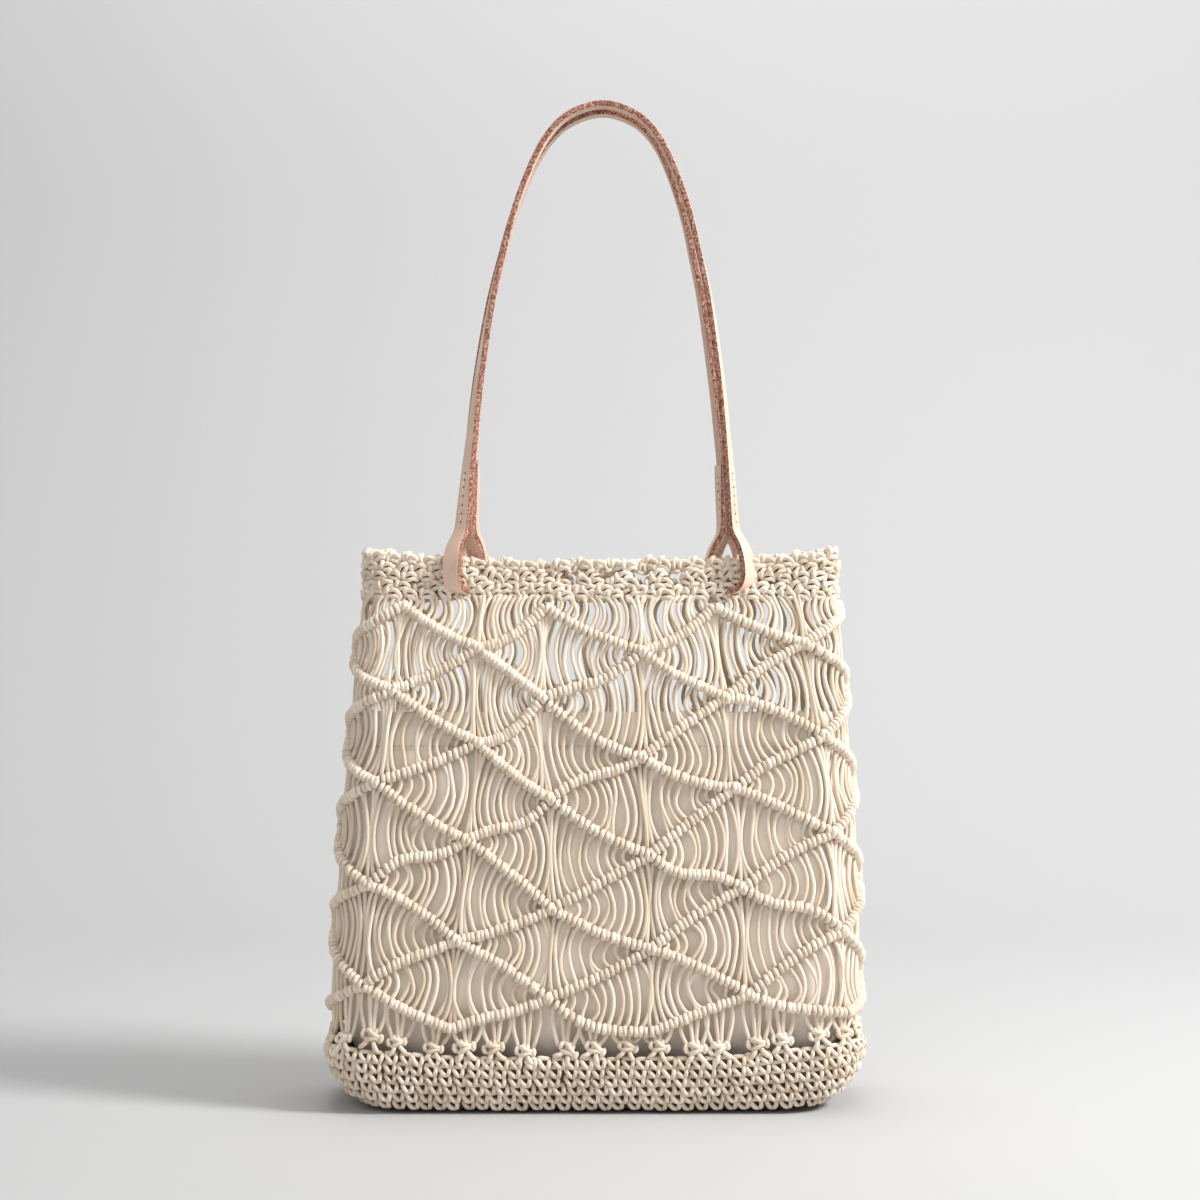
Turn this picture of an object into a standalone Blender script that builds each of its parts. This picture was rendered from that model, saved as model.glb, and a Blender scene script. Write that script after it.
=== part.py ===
"""Macrame tote bag: a knotted cotton net on a crocheted base, a canvas pouch inside and two
leather handles looped round the rim. Metres, +Z up. The bag stands on z = 0, its front
faces -Y and its width runs along X.
"""

from math import cos, pi, radians, sin

import bmesh
import bpy

# ---------------------------------------------------------------- sizes, in metres
BASE_WIDTH = 0.355  # widest part of the crocheted base, along X
BASE_DEPTH = 0.116  # the same along Y
BASE_HEIGHT = 0.0367  # height of the crocheted wall at the middle of the front
BASE_WALL = 0.006  # thickness of the crochet
BASE_FLOOR = 0.006  # thickness of its floor
BASE_CORNER = 0.041  # how far the bottom draws in at the two ends
BASE_TURN = 0.014  # how far it draws in at the front and back
RISE_LEFT = 0.006  # the base's edge climbs this much at the left end
RISE_RIGHT = 0.010  # and this much at the right end
KNOT_ROW_HEIGHT = 0.0100  # row of square knots that joins the net to the base
KNOT_ROW_WALL = 0.005
RIM_WIDTH = 0.3135  # the knotted band round the mouth
RIM_DEPTH = 0.058
RIM_TOP = 0.3645  # height of the bag without its handles
RIM_HEIGHT = 0.0303
RIM_SAG = 0.0085  # the rim hangs lower at the middle of the front and back
RIM_WALL = 0.0065
RIM_BUMP = 0.0006  # how far its knots stand up from their hollows
RIM_LEAN = 0.0035  # the rim's centre lies this far to the right of the base's
NET_WALL = 0.003  # one cord
RIDGE_RISE = 0.003  # a ridge of hitches stands this far out of the net
RIDGE_WIDTH = 0.007
RIDGE_SAG = 0.0025  # a ridge hangs below the straight line between its crossings
POUCH_TOP = 0.2600
POUCH_WALL = 0.0015
POUCH_GAP = 0.0015  # between the pouch and the inside of the bag
POUCH_CORNER = 0.044  # how far the pouch's bottom draws in at its ends
POUCH_TURN = 0.030  # and at its front and back
POUCH_ROUND = 0.050  # height of that rounding
POUCH_STEP = 0.006  # above the base, the pouch starts to fill out to the net here
POUCH_BULGE = 0.022  # and is filled out this much higher
STRAP_WIDTH = 0.0127
STRAP_THICK = 0.004
HANDLE_TOP = 0.6646  # top of the arch
HANDLE_SPAN = 0.1788  # between the two loops of one handle
HANDLE_GAP = 0.0015  # between the two handles where they stand side by side
HANDLE_LEAN = 0.0032  # the arch's top lies this far to the right of its feet
HANDLE_SHIFT = 0.0020  # the feet's middle, right of the base's centre
BACK_DROP = 0.0028  # the back handle's arch lies this much lower than the front one's
BACK_BOW = 0.0030  # and halfway up its legs stand this far to the left of the front one's
EYE_RISE = 0.0132  # the loop closes this far above the rim
TAIL_LENGTH = 0.047  # the stitched tail above that
LOOP_LIFT = 0.0025  # the loop's underside over the rim's lower edge
LOOP_CORNER = 0.006  # bend of the loop under the rim
LOOP_TWIST = 45.0  # degrees that the strap is turned where it wraps the rim
GAP = 0.0003  # between pieces that touch
STRAP_GAP = 0.0004  # between the strap's two layers, and between strap and rim

COLUMNS = 14  # columns of ridge crossings round the bag
CORNER_SHARE = 0.6  # the plan's corner radius as a share of the half depth
BASE_AROUND = 84
POUCH_AROUND = 48
RIM_KNOTS = 70
JOIN_KNOTS = 42

# The body over its height. Shares: height of RIM_TOP, then how far the width, the depth
# and the lean have gone from the rim's (0) to the base's (1).
BODY_COLUMNS = ("height", "width", "depth", "lean")
BODY = (
    (0.000, 1.00, 1.00, 1.00),
    (0.105, 1.00, 1.00, 1.00),
    (0.130, 0.84, 0.98, 0.97),
    (0.150, 0.81, 0.97, 0.94),
    (0.200, 0.80, 0.93, 0.85),
    (0.300, 0.73, 0.87, 0.65),
    (0.370, 0.73, 0.80, 0.50),
    (0.470, 0.62, 0.71, 0.40),
    (0.550, 0.54, 0.62, 0.35),
    (0.640, 0.38, 0.51, 0.25),
    (0.720, 0.28, 0.40, 0.20),
    (0.800, 0.18, 0.27, 0.20),
    (0.880, 0.07, 0.13, 0.10),
    (0.920, 0.00, 0.05, 0.00),
    (1.000, 0.00, 0.00, 0.00),
)
# The rounded bottom of the base and of the pouch: share of its height, share drawn in.
ROUNDING = ((0.00, 1.00), (0.09, 0.66), (0.24, 0.38), (0.50, 0.14), (0.78, 0.03), (1.0, 0.0))

# Nominal height of the rows of crossings, as shares of the net's height, top row first.
ROWS = (0.987, 0.889, 0.781, 0.669, 0.568, 0.449, 0.334, 0.229, 0.114, 0.032)
# How the front's crossings stray from that grid: column, row, then sideways in columns
# and upwards in rows. The back strays the same way, mirrored.
STRAY = (
    (0, 3, 0.00, 0.25), (0, 5, 0.00, 0.27), (0, 7, 0.00, 0.35), (0, 9, 0.00, 0.20),
    (1, 2, 0.02, 0.12), (1, 4, -0.03, 0.17), (1, 6, 0.02, 0.19), (1, 8, 0.05, 0.15),
    (2, 3, 0.10, 0.05), (2, 5, 0.05, 0.05),
    (3, 0, -0.19, -0.05), (3, 2, -0.18, -0.04), (3, 4, -0.04, -0.21), (3, 6, 0.01, -0.34),
    (3, 8, 0.00, -0.13),
    (4, 1, 0.03, -0.07), (4, 3, 0.00, -0.29), (4, 5, 0.07, -0.28), (4, 7, 0.08, -0.18),
    (4, 9, 0.12, -0.05),
    (5, 0, -0.05, -0.05), (5, 2, 0.00, -0.08), (5, 4, 0.06, 0.04), (5, 6, 0.07, 0.12),
    (5, 8, 0.12, -0.06),
    (6, 1, 0.04, 0.10), (6, 3, 0.12, 0.20), (6, 5, 0.11, 0.20), (6, 7, 0.15, 0.18),
    (6, 9, 0.20, 0.30),
    (7, 2, 0.00, 0.19), (7, 4, 0.00, 0.21), (7, 6, 0.00, 0.31), (7, 8, 0.00, 0.25),
)
# Where along a ridge the web between ridges is cut: the gap runs from the first to the second.
CUTS = (0.30, 0.72)
PINCH = 0.10  # the strands lean this share of a column towards the middle of their cell

# One leg of a handle from its loop to the top: share of the height, share of the half
# span, and the strap's turn about its length in degrees.
LEG = (
    (0.000, 1.000, 33.0),
    (0.113, 0.970, 27.0),
    (0.213, 0.940, 20.0),
    (0.362, 0.889, 14.0),
    (0.538, 0.805, 8.0),
    (0.656, 0.722, 4.0),
    (0.773, 0.626, 2.0),
    (0.891, 0.475, 0.0),
    (0.956, 0.330, 0.0),
    (0.988, 0.170, 0.0),
    (1.000, 0.000, 0.0),
)

RIM_BOTTOM = RIM_TOP - RIM_HEIGHT
NET_TOP = RIM_BOTTOM - GAP


# ---------------------------------------------------------------- helpers
def read(table, x, column):
    """A table's column at x, straight between its rows."""
    if x <= table[0][0]:
        return table[0][column]
    for low, high in zip(table, table[1:]):
        if x <= high[0]:
            f = (x - low[0]) / (high[0] - low[0])
            return low[column] + f * (high[column] - low[column])
    return table[-1][column]


def ease(t):
    t = min(max(t, 0.0), 1.0)
    return t * t * (3 - 2 * t)


def plan(half_width, half_depth, centre, u, inset=0.0):
    """The point at share u of the way round a rounded rectangle, from the middle of its
    left side by way of the front (-Y), and drawn in square to it by inset."""
    r = CORNER_SHARE * half_depth
    side, arc, front = half_depth - r, pi * r / 2, 2 * (half_width - r)
    walk = (u % 1.0) * (4 * side + 4 * arc + 2 * front)
    turned = walk > 2 * side + 2 * arc + front
    if turned:
        walk -= 2 * side + 2 * arc + front
    if walk < side:
        x, y, nx, ny = -half_width, -walk, -1.0, 0.0
    elif walk < side + arc:
        a = pi + (walk - side) / r
        nx, ny = cos(a), sin(a)
        x, y = -half_width + r + r * nx, -half_depth + r + r * ny
    elif walk < side + arc + front:
        x, y, nx, ny = -half_width + r + (walk - side - arc), -half_depth, 0.0, -1.0
    elif walk < side + 2 * arc + front:
        a = 1.5 * pi + (walk - side - arc - front) / r
        nx, ny = cos(a), sin(a)
        x, y = half_width - r + r * nx, -half_depth + r + r * ny
    else:
        x, y = half_width, -half_depth + r + (walk - side - 2 * arc - front)
        nx, ny = 1.0, 0.0
    if turned:
        x, y, nx, ny = -x, -y, -nx, -ny
    return x + centre - inset * nx, y - inset * ny


def body(z):
    """Half width, half depth and centre of the bag's outer surface at a height."""
    h = z / RIM_TOP
    half_w = (RIM_WIDTH + (BASE_WIDTH - RIM_WIDTH) * read(BODY, h, 1)) / 2
    half_d = (RIM_DEPTH + (BASE_DEPTH - RIM_DEPTH) * read(BODY, h, 2)) / 2
    return half_w, half_d, RIM_LEAN * (1 - read(BODY, h, 3))


def rise(u):
    """How much higher the base's edge lies at u than at the middle of the front."""
    a, b, c = body(BASE_HEIGHT)
    x = plan(a, b, c, u)[0] / a
    return RISE_LEFT * ease((-x - 0.35) / 0.65) + RISE_RIGHT * ease((x - 0.35) / 0.65)


def base_edge(u):
    return BASE_HEIGHT + rise(u)


def net_bottom(u):
    return base_edge(u) + GAP + KNOT_ROW_HEIGHT + GAP


def on_bag(u, z, inset=0.0):
    x, y = plan(*body(z), u, inset)
    return x, y, z


def new_object(name, bm, colour, roughness):
    """Makes the mesh an object of its own with its own material."""
    bmesh.ops.recalc_face_normals(bm, faces=bm.faces)
    mesh = bpy.data.meshes.new(name)
    bm.to_mesh(mesh)
    bm.free()
    obj = bpy.data.objects.new(name, mesh)
    parts.objects.link(obj)
    material = bpy.data.materials.new(name)
    material.use_nodes = True
    shader = material.node_tree.nodes["Principled BSDF"]
    shader.inputs["Base Color"].default_value = (*colour, 1.0)
    shader.inputs["Roughness"].default_value = roughness
    shader.inputs["Metallic"].default_value = 0.0
    mesh.materials.append(material)
    return obj


def loft(rings, ends):
    """Skins closed rings of points one after the other. ends is "caps" for a closed face
    on the first and last ring, or "loop" where the last ring joins the first."""
    bm = bmesh.new()
    rows = [[bm.verts.new(p) for p in ring] for ring in rings]
    pairs = list(zip(rows, rows[1:]))
    if ends == "loop":
        pairs.append((rows[-1], rows[0]))
    for low, high in pairs:
        n = len(low)
        for i in range(n):
            bm.faces.new((low[i], low[(i + 1) % n], high[(i + 1) % n], high[i]))
    if ends == "caps":
        bm.faces.new(rows[0][::-1])
        bm.faces.new(rows[-1])
    return bm


# ---------------------------------------------------------------- crocheted base
def make_base():
    """A thick-walled tub with a rounded bottom and a flat floor."""
    around = [i / BASE_AROUND for i in range(BASE_AROUND)]
    half_w, half_d, centre = body(0.0)

    def ring(share, drawn, inset, low):
        points = []
        for u in around:
            z = low + share * (base_edge(u) - low)
            a, b = half_w - drawn * BASE_CORNER, half_d - drawn * BASE_TURN
            points.append((*plan(a, b, centre, u, inset), z))
        return points

    outer = [ring(share, drawn, 0.0, 0.0) for share, drawn in ROUNDING]
    inner = [ring(share, drawn, BASE_WALL, BASE_FLOOR) for share, drawn in ROUNDING[::-1] if
             share in (ROUNDING[0][0], ROUNDING[2][0], ROUNDING[3][0], ROUNDING[-1][0])]
    new_object("base", loft(outer + inner, "caps"), (0.72, 0.64, 0.52), 0.9)


# ---------------------------------------------------------------- row of square knots
def make_knot_row():
    """The knots swell out of a ring that stands on the base's edge."""
    steps = 2 * JOIN_KNOTS
    rings = [[], [], [], []]
    for i in range(steps):
        u = i / steps
        swell = 0.0 if i % 2 else -0.0012
        low = base_edge(u) + GAP
        high = low + KNOT_ROW_HEIGHT
        for ring, z, inset in zip(
            rings,
            (low, high, high, low),
            (0.002 + swell, 0.001 + swell, KNOT_ROW_WALL, KNOT_ROW_WALL),
        ):
            ring.append(on_bag(u, z, inset))
    new_object("knot_row", loft(rings, "loop"), (0.74, 0.66, 0.54), 0.9)


# ---------------------------------------------------------------- net
def crossings():
    """Where ridges cross: (column, row) -> (u in columns, height)."""
    stray = {}
    for column, row, sideways, up in STRAY:
        stray[column, row] = (sideways, up)
        stray[(COLUMNS - column) % COLUMNS, row] = (-sideways, up)
    for row in range(len(ROWS)):
        stray[0, row] = (0.0, stray.get((0, row), (0, 0))[1])
        stray[COLUMNS // 2, row] = (0.0, stray.get((COLUMNS // 2, row), (0, 0))[1])
    low = BASE_HEIGHT + KNOT_ROW_HEIGHT + 2 * GAP
    pitch = (NET_TOP - low) / len(ROWS)
    points = {}
    for column in range(COLUMNS):
        for row in range(len(ROWS)):
            if (column + row) % 2:
                sideways, up = stray.get((column, row), (0.0, 0.0))
                z = low + ROWS[row] * (NET_TOP - low) + up * pitch
                points[column, row] = (column + sideways, z)
    return points


def make_net():
    """Ridges of hitches on a lattice round the bag, with a web of cord between them that is
    cut through beside the middle of each cell."""
    cross = crossings()
    last = len(ROWS) - 1
    half = RIDGE_WIDTH / 2
    tall = half * 1.13  # half a ridge measured upwards, as it runs at a slant
    wide = half * 2.1 / (BASE_WIDTH * 2.4 / COLUMNS)  # and sideways, in columns
    bm = bmesh.new()
    outer, inner, across, made = [], [], [], {}

    def point(key, u, z, proud=0.0):
        """One point of the net's outer side and the one behind it, made once per key."""
        if key not in made:
            made[key] = len(outer)
            across.append(u)
            share = (u / COLUMNS) % 1.0
            outer.append(bm.verts.new(on_bag(share, z, -proud)))
            inner.append(bm.verts.new(on_bag(share, z, NET_WALL)))
        return made[key]

    def corner(column, row, side):
        """A crossing's middle or one of its four sides, as (key, u, z, proud)."""
        u, z = cross[column % COLUMNS, row]
        u += column - column % COLUMNS
        du, dz = {"C": (0, 0), "N": (0, tall), "S": (0, -tall), "E": (wide, 0), "W": (-wide, 0)}[
            side
        ]
        if side == "N" and row == 0:
            z, dz = NET_TOP, 0.0
        if side == "S" and row == last:
            z, dz = net_bottom(u / COLUMNS), 0.0
        key = ("x", column % COLUMNS, row, side)
        return key, u + du, z + dz, RIDGE_RISE if side == "C" else 0.0

    def ridge(column, row, down):
        """The three lines of the ridge from a crossing to the next one on the right."""
        to = row + (1 if down else -1)
        (u0, z0), (u1, z1) = (
            corner(column, row, "C")[1:3],
            corner(column + 1, to, "C")[1:3],
        )
        ends = {
            "upper": ("E", "N") if down else ("N", "W"),
            "crest": ("C", "C"),
            "lower": ("S", "W") if down else ("E", "S"),
        }
        lines = {}
        for line, (first, final) in ends.items():
            off, proud = {"upper": (tall, 0), "crest": (0, RIDGE_RISE), "lower": (-tall, 0)}[line]
            points = [point(*corner(column, row, first))]
            for k, t in enumerate(CUTS):
                z = z0 + t * (z1 - z0) - RIDGE_SAG * 4 * t * (1 - t) + off
                key = ("r", column % COLUMNS, row, down, line, k)
                points.append(point(key, u0 + t * (u1 - u0), z, proud))
            points.append(point(*corner(column + 1, to, final)))
            lines[line] = points
        return lines

    def near(u, column):
        """The same place round the bag, counted so that it lies near a column."""
        return u - COLUMNS * round((u - column) / COLUMNS)

    faces = []
    ridges = {}
    for column, row in cross:
        for down in (True, False):
            to = row + (1 if down else -1)
            if 0 <= to <= last:
                lines = ridge(column, row, down)
                ridges[column, row, down] = lines
                for low, high in (("lower", "crest"), ("crest", "upper")):
                    for k in range(3):
                        a, b = lines[low], lines[high]
                        faces.append((a[k], a[k + 1], b[k + 1], b[k]))

    def web(column, row, bottom, top, mirror):
        """Half a cell between its two ridges, from its outer corner to its middle."""
        mids = []
        for k, (low, high) in enumerate(zip(bottom[1:], top[1:])):
            key = ("m", column, row, mirror, k) if k < 2 else ("m", column, row)
            u = near(across[low], column) + near(across[high], column)
            z = outer[low].co.z + outer[high].co.z
            pinch = (PINCH, PINCH, 0.0)[k] * (-1 if mirror else 1)
            mids.append(point(key, u / 2 + pinch, z / 2))
        tip = bottom[0]
        pieces = [
            (tip, bottom[1], mids[0]),
            (tip, mids[0], top[1]),
            (bottom[2], bottom[3], mids[2], mids[1]),
            (mids[1], mids[2], top[3], top[2]),
        ]
        faces.extend(p[::-1] if mirror else p for p in pieces)

    for column in range(COLUMNS):
        for row in range(1, last):
            if (column + row) % 2:
                continue
            left, right = (column - 1) % COLUMNS, (column + 1) % COLUMNS
            web(column, row, ridges[left, row, True]["upper"], ridges[left, row, False]["lower"], False)
            web(
                column,
                row,
                ridges[column, row + 1, False]["upper"][::-1],
                ridges[column, row - 1, True]["lower"][::-1],
                True,
            )

    # Closed web above the top row and below the bottom row.
    for column in range(COLUMNS):
        if (column + 0) % 2 == 0:
            left, right = (column - 1) % COLUMNS, (column + 1) % COLUMNS
            falls = ridges[left, 0, True]["upper"]
            climbs = ridges[column, 1, False]["upper"]
            line = falls[:3] + climbs
            edge_of(point, outer, faces, cross, column, line, 0, NET_TOP, True, wide, made)
        if (column + last) % 2 == 0:
            left = (column - 1) % COLUMNS
            climbs = ridges[left, last, False]["lower"]
            falls = ridges[column, last - 1, True]["lower"]
            line = climbs[:3] + falls
            edge_of(point, outer, faces, cross, column, line, last, None, False, wide, made)

    # The crossings of the top and bottom row have no ridge on their far side.
    for column, row in cross:
        if row in (0, last):
            c, e, w = (made["x", column, row, s] for s in "CEW")
            if row == 0:
                n = point(*corner(column, row, "N"))
                faces += [(c, e, n), (c, n, w)]
            else:
                s = point(*corner(column, row, "S"))
                faces += [(c, s, e), (c, w, s)]

    edges = {}
    for face in faces:
        bm.faces.new([outer[i] for i in face])
        bm.faces.new([inner[i] for i in face][::-1])
        for a, b in zip(face, face[1:] + face[:1]):
            if (b, a) in edges:
                del edges[b, a]
            else:
                edges[a, b] = True
    for a, b in edges:
        bm.faces.new((outer[b], outer[a], inner[a], inner[b]))
    new_object("net", bm, (0.76, 0.68, 0.56), 0.9)


def edge_of(point, outer, faces, cross, column, line, row, level, top, wide, made):
    """Fills between a ridge line and the net's top or bottom edge over one column."""
    left, right = (column - 1) % COLUMNS, (column + 1) % COLUMNS
    u0 = cross[left, row][0] - (COLUMNS if left > column else 0)
    u1 = cross[right, row][0] + (COLUMNS if right < column else 0)
    uc = cross[column, row + 1 if top else row - 1][0]
    stops = [u0 + wide] + [u0 + t * (uc - u0) for t in CUTS] + [uc]
    stops += [uc + t * (u1 - uc) for t in CUTS] + [u1 - wide]
    far = []
    for k, u in enumerate(stops):
        z = level if top else net_bottom(u / COLUMNS)
        far.append(point(("edge", column, top, k), u, z))
    side = "N" if top else "S"
    first = made.get(("x", left, row, side))
    final = made.get(("x", right, row, side))
    if first is None:
        z = level if top else net_bottom(u0 / COLUMNS)
        first = point(("x", left, row, side), u0, z)
    if final is None:
        z = level if top else net_bottom(u1 / COLUMNS)
        final = point(("x", right, row, side), u1, z)
    near = line
    pieces = [(near[0], far[0], first)]
    for k in range(len(stops) - 1):
        pieces.append((near[k], near[k + 1], far[k + 1], far[k]))
    pieces.append((near[-1], final, far[-1]))
    faces.extend(p if top else p[::-1] for p in pieces)


# ---------------------------------------------------------------- rim band
def handle_x(side, share=0.0):
    """X of a handle's leg over its loop: side is -1 for the left leg and 1 for the right."""
    return HANDLE_SHIFT + HANDLE_LEAN * share + side * HANDLE_SPAN / 2


def rim_top(x):
    half_w, _, centre = body(RIM_TOP)
    return RIM_TOP - RIM_SAG * max(0.0, 1 - ((x - centre) / half_w) ** 2)


def make_rim():
    """The band of knots, lifted over the four places where a strap passes under it."""
    steps = 2 * RIM_KNOTS
    rings = [[], [], [], []]
    a, b, c = body(RIM_TOP)
    tau = radians(LOOP_TWIST)
    shift = (STRAP_THICK + STRAP_GAP) / 2 * cos(radians(LEG[0][2]))
    reach = (RIM_WALL / 2) / abs(sin(tau)) * cos(tau) + STRAP_WIDTH / 2 / sin(tau) + 0.002
    step = 2 * (a + b) * 2 / steps
    for i in range(steps):
        u = i / steps
        x, y = plan(a, b, c, u)
        low, high = RIM_BOTTOM, rim_top(x) + (RIM_BUMP if i % 2 else -RIM_BUMP)
        if abs(y) > b - RIM_WALL:
            for side in (-1, 1):
                if abs(x - (handle_x(side) - side * shift)) < reach + step:
                    low = LOOP_LIFT + RIM_BOTTOM + STRAP_THICK + 0.004
        for ring, z, inset in zip(rings, (low, high, high, low), (0, 0, RIM_WALL, RIM_WALL)):
            ring.append((*plan(a, b, c, u, inset), z))
    new_object("rim_band", loft(rings, "loop"), (0.74, 0.66, 0.54), 0.9)


# ---------------------------------------------------------------- canvas pouch
def make_pouch():
    """A cloth bag with a rounded bottom that stands in the base, open at the top."""
    around = [i / POUCH_AROUND for i in range(POUCH_AROUND)]
    low = BASE_FLOOR + GAP

    def ring(z, inset, floor=0.0):
        a, b, c = body(z)
        drawn = read(ROUNDING, (z - low - floor) / POUCH_ROUND, 1)
        wall = BASE_WALL + (NET_WALL - BASE_WALL) * ease((z - BASE_HEIGHT - POUCH_STEP) / POUCH_BULGE)
        a -= wall + POUCH_GAP + drawn * POUCH_CORNER
        b -= wall + POUCH_GAP + drawn * POUCH_TURN
        return [(*plan(a, b, c, u, inset), z) for u in around]

    heights = [low + share * POUCH_ROUND for share, _ in ROUNDING]
    heights += [low + POUCH_ROUND + f * (POUCH_TOP - low - POUCH_ROUND) for f in (0.35, 0.7, 1.0)]
    outer = [ring(z, 0.0) for z in heights]
    inner = [ring(z, POUCH_WALL, POUCH_WALL) for z in heights[:0:-1]]
    inner.append(ring(low + POUCH_WALL, POUCH_WALL, POUCH_WALL))
    new_object("pouch", loft(outer + inner, "caps"), (0.60, 0.52, 0.40), 0.95)


# ---------------------------------------------------------------- leather handles
def curve_through(rows, q):
    """A smooth curve through rows of numbers, at row number q."""
    i = min(int(q), len(rows) - 2)
    t = q - i
    get = lambda k: rows[min(max(k, 0), len(rows) - 1)]
    values = []
    for a, b, c, d in zip(get(i - 1), get(i), get(i + 1), get(i + 2)):
        values.append(
            b + 0.5 * t * (c - a + t * (2 * a - 5 * b + 4 * c - d + t * (3 * (b - c) + d - a)))
        )
    return values


def make_handle(name, facing):
    """A flat strap from one stitched tail, round the rim, over the arch and down again.
    facing is -1 for the front handle and 1 for the back one."""
    half_t = STRAP_THICK / 2
    eye = RIM_TOP + EYE_RISE
    bow = BACK_BOW if facing > 0 else 0.0
    climb = HANDLE_TOP - half_t - eye - (BACK_DROP if facing > 0 else 0.0)
    band_y = RIM_DEPTH / 2 - RIM_WALL / 2
    top_y = STRAP_WIDTH / 2 + HANDLE_GAP / 2
    under = RIM_BOTTOM + LOOP_LIFT + half_t
    tau = radians(LOOP_TWIST)
    open_half = half_t + (RIM_WALL / 2 + STRAP_GAP + STRAP_WIDTH / 2 * cos(tau)) / sin(tau)
    shut_half = (STRAP_THICK + STRAP_GAP) / 2
    table = LEG + tuple((s, -w, -t) for s, w, t in LEG[-2::-1][:2])

    def leg(q):
        """Distance out from the arch's middle line, y, z, share of the climb and turn."""
        share, out, turn = curve_through(table, q)
        y = top_y + (band_y - top_y) * (1 - share)
        return out * HANDLE_SPAN / 2, y, eye + share * climb, share, radians(turn)

    def tail_end():
        q = 0.0
        while leg(q)[2] < eye + TAIL_LENGTH:
            q += 0.01
        return q

    def place(out, y, z, share, side):
        x = HANDLE_SHIFT + HANDLE_LEAN * share - bow * 4 * share * (1 - share) + side * out
        return x, facing * y, z

    def doubled(q, layer, side):
        """A point of the strap where it lies double: layer 0 outside, 1 for the tail."""
        out, y, z, share, turn = leg(q)
        shift = layer * 2 * shut_half
        x, y, z = place(out - shift * cos(turn), y - shift * sin(turn), z, share, side)
        return x, y, z, turn

    def eye_point(f, layer, side):
        """A point of the open loop: f is 0 where it closes and 1 beside the rim."""
        out, y, _, _, turn = leg(0.0)
        out, y = out - shut_half * cos(turn), y - shut_half * sin(turn)
        e = ease(f)
        twist = turn + (tau - turn) * min(1.0, 1.4 * f)
        y += (band_y - y) * min(1.0, 1.4 * f)
        apart = shut_half + (open_half - shut_half) * e
        apart *= 1 if layer else -1
        z = eye + (RIM_TOP + 0.0005 - eye) * f
        x, y, z = place(out - apart * cos(twist), y - apart * sin(twist), z, 0.0, side)
        return x, y, z, twist

    def loop_point(along, z, side):
        out, y, _, _, turn = leg(0.0)
        out -= shut_half * cos(turn)
        x, y, z = place(out - along * cos(tau), band_y - along * sin(tau), z, 0.0, side)
        return x, y, z, tau

    q_tail = tail_end()

    def end(side):
        """Stations from the tail's tip to just above the eye on one side."""
        stations = [doubled(q_tail * (1 - k / 6), 1, side) for k in range(6)]
        stations += [eye_point(k / 5, 1, side) for k in range(6)]
        r = LOOP_CORNER
        flat = open_half - r
        for k in range(5):
            a = k * pi / 8
            stations.append(loop_point(flat + r * cos(a), under + r - r * sin(a), side))
        for k in range(5):
            a = pi / 2 - k * pi / 8
            stations.append(loop_point(-flat - r * cos(a), under + r - r * sin(a), side))
        stations += [eye_point(1 - k / 5, 0, side) for k in range(6)]
        return stations

    rows = len(LEG) - 1
    steps = 4 * rows
    left = end(-1) + [doubled(k * rows / steps, 0, -1) for k in range(1, steps)]
    right = end(1) + [doubled(k * rows / steps, 0, 1) for k in range(1, steps)]
    middle = [doubled(rows, 0, -1)]
    stations = [(*p, -1) for p in left] + [(*p, -1) for p in middle]
    stations += [(*p, 1) for p in right[::-1]]

    bm = bmesh.new()
    rings = []
    for i, (x, y, z, turn, side) in enumerate(stations):
        before, after = stations[max(i - 1, 0)], stations[min(i + 1, len(stations) - 1)]
        t = [after[k] - before[k] for k in range(3)]
        size = sum(v * v for v in t) ** 0.5
        t = [v / size for v in t]
        w = [-side * sin(turn), facing * cos(turn), 0.0]
        dot = sum(a * b for a, b in zip(w, t))
        w = [a - dot * b for a, b in zip(w, t)]
        size = sum(v * v for v in w) ** 0.5
        w = [v / size for v in w]
        n = [t[1] * w[2] - t[2] * w[1], t[2] * w[0] - t[0] * w[2], t[0] * w[1] - t[1] * w[0]]
        ring = []
        for sw, sn in ((-1, -1), (1, -1), (1, 1), (-1, 1)):
            ring.append(
                bm.verts.new(
                    p + sw * STRAP_WIDTH / 2 * a + sn * half_t * b
                    for p, a, b in zip((x, y, z), w, n)
                )
            )
        rings.append(ring)
    for low, high in zip(rings, rings[1:]):
        for i in range(4):
            bm.faces.new((low[i], low[(i + 1) % 4], high[(i + 1) % 4], high[i]))
    bm.faces.new(rings[0][::-1])
    bm.faces.new(rings[-1])
    new_object(name, bm, (0.80, 0.55, 0.42), 0.5)


for old in list(bpy.data.objects):
    bpy.data.objects.remove(old, do_unlink=True)
parts = bpy.data.collections.new("macrame_tote_bag")
bpy.context.scene.collection.children.link(parts)

make_base()
make_knot_row()
make_net()
make_rim()
make_pouch()
make_handle("handle_front", -1)
make_handle("handle_back", 1)
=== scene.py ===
# %% [markdown]
# # A macrame tote bag
# The bag is knotted from one kind of cord, 3 mm braided cotton. A crocheted tub is its base, a
# net of hitched ridges and loose strands is its body, and a band of square knots is its rim.
# A canvas pouch stands inside, and two leather straps are looped round the rim as handles.
#
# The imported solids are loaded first, because they give every piece its place. The lattice of
# the net is then worked out once, and the cords, hitches and knots are laid along it.

import math

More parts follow.
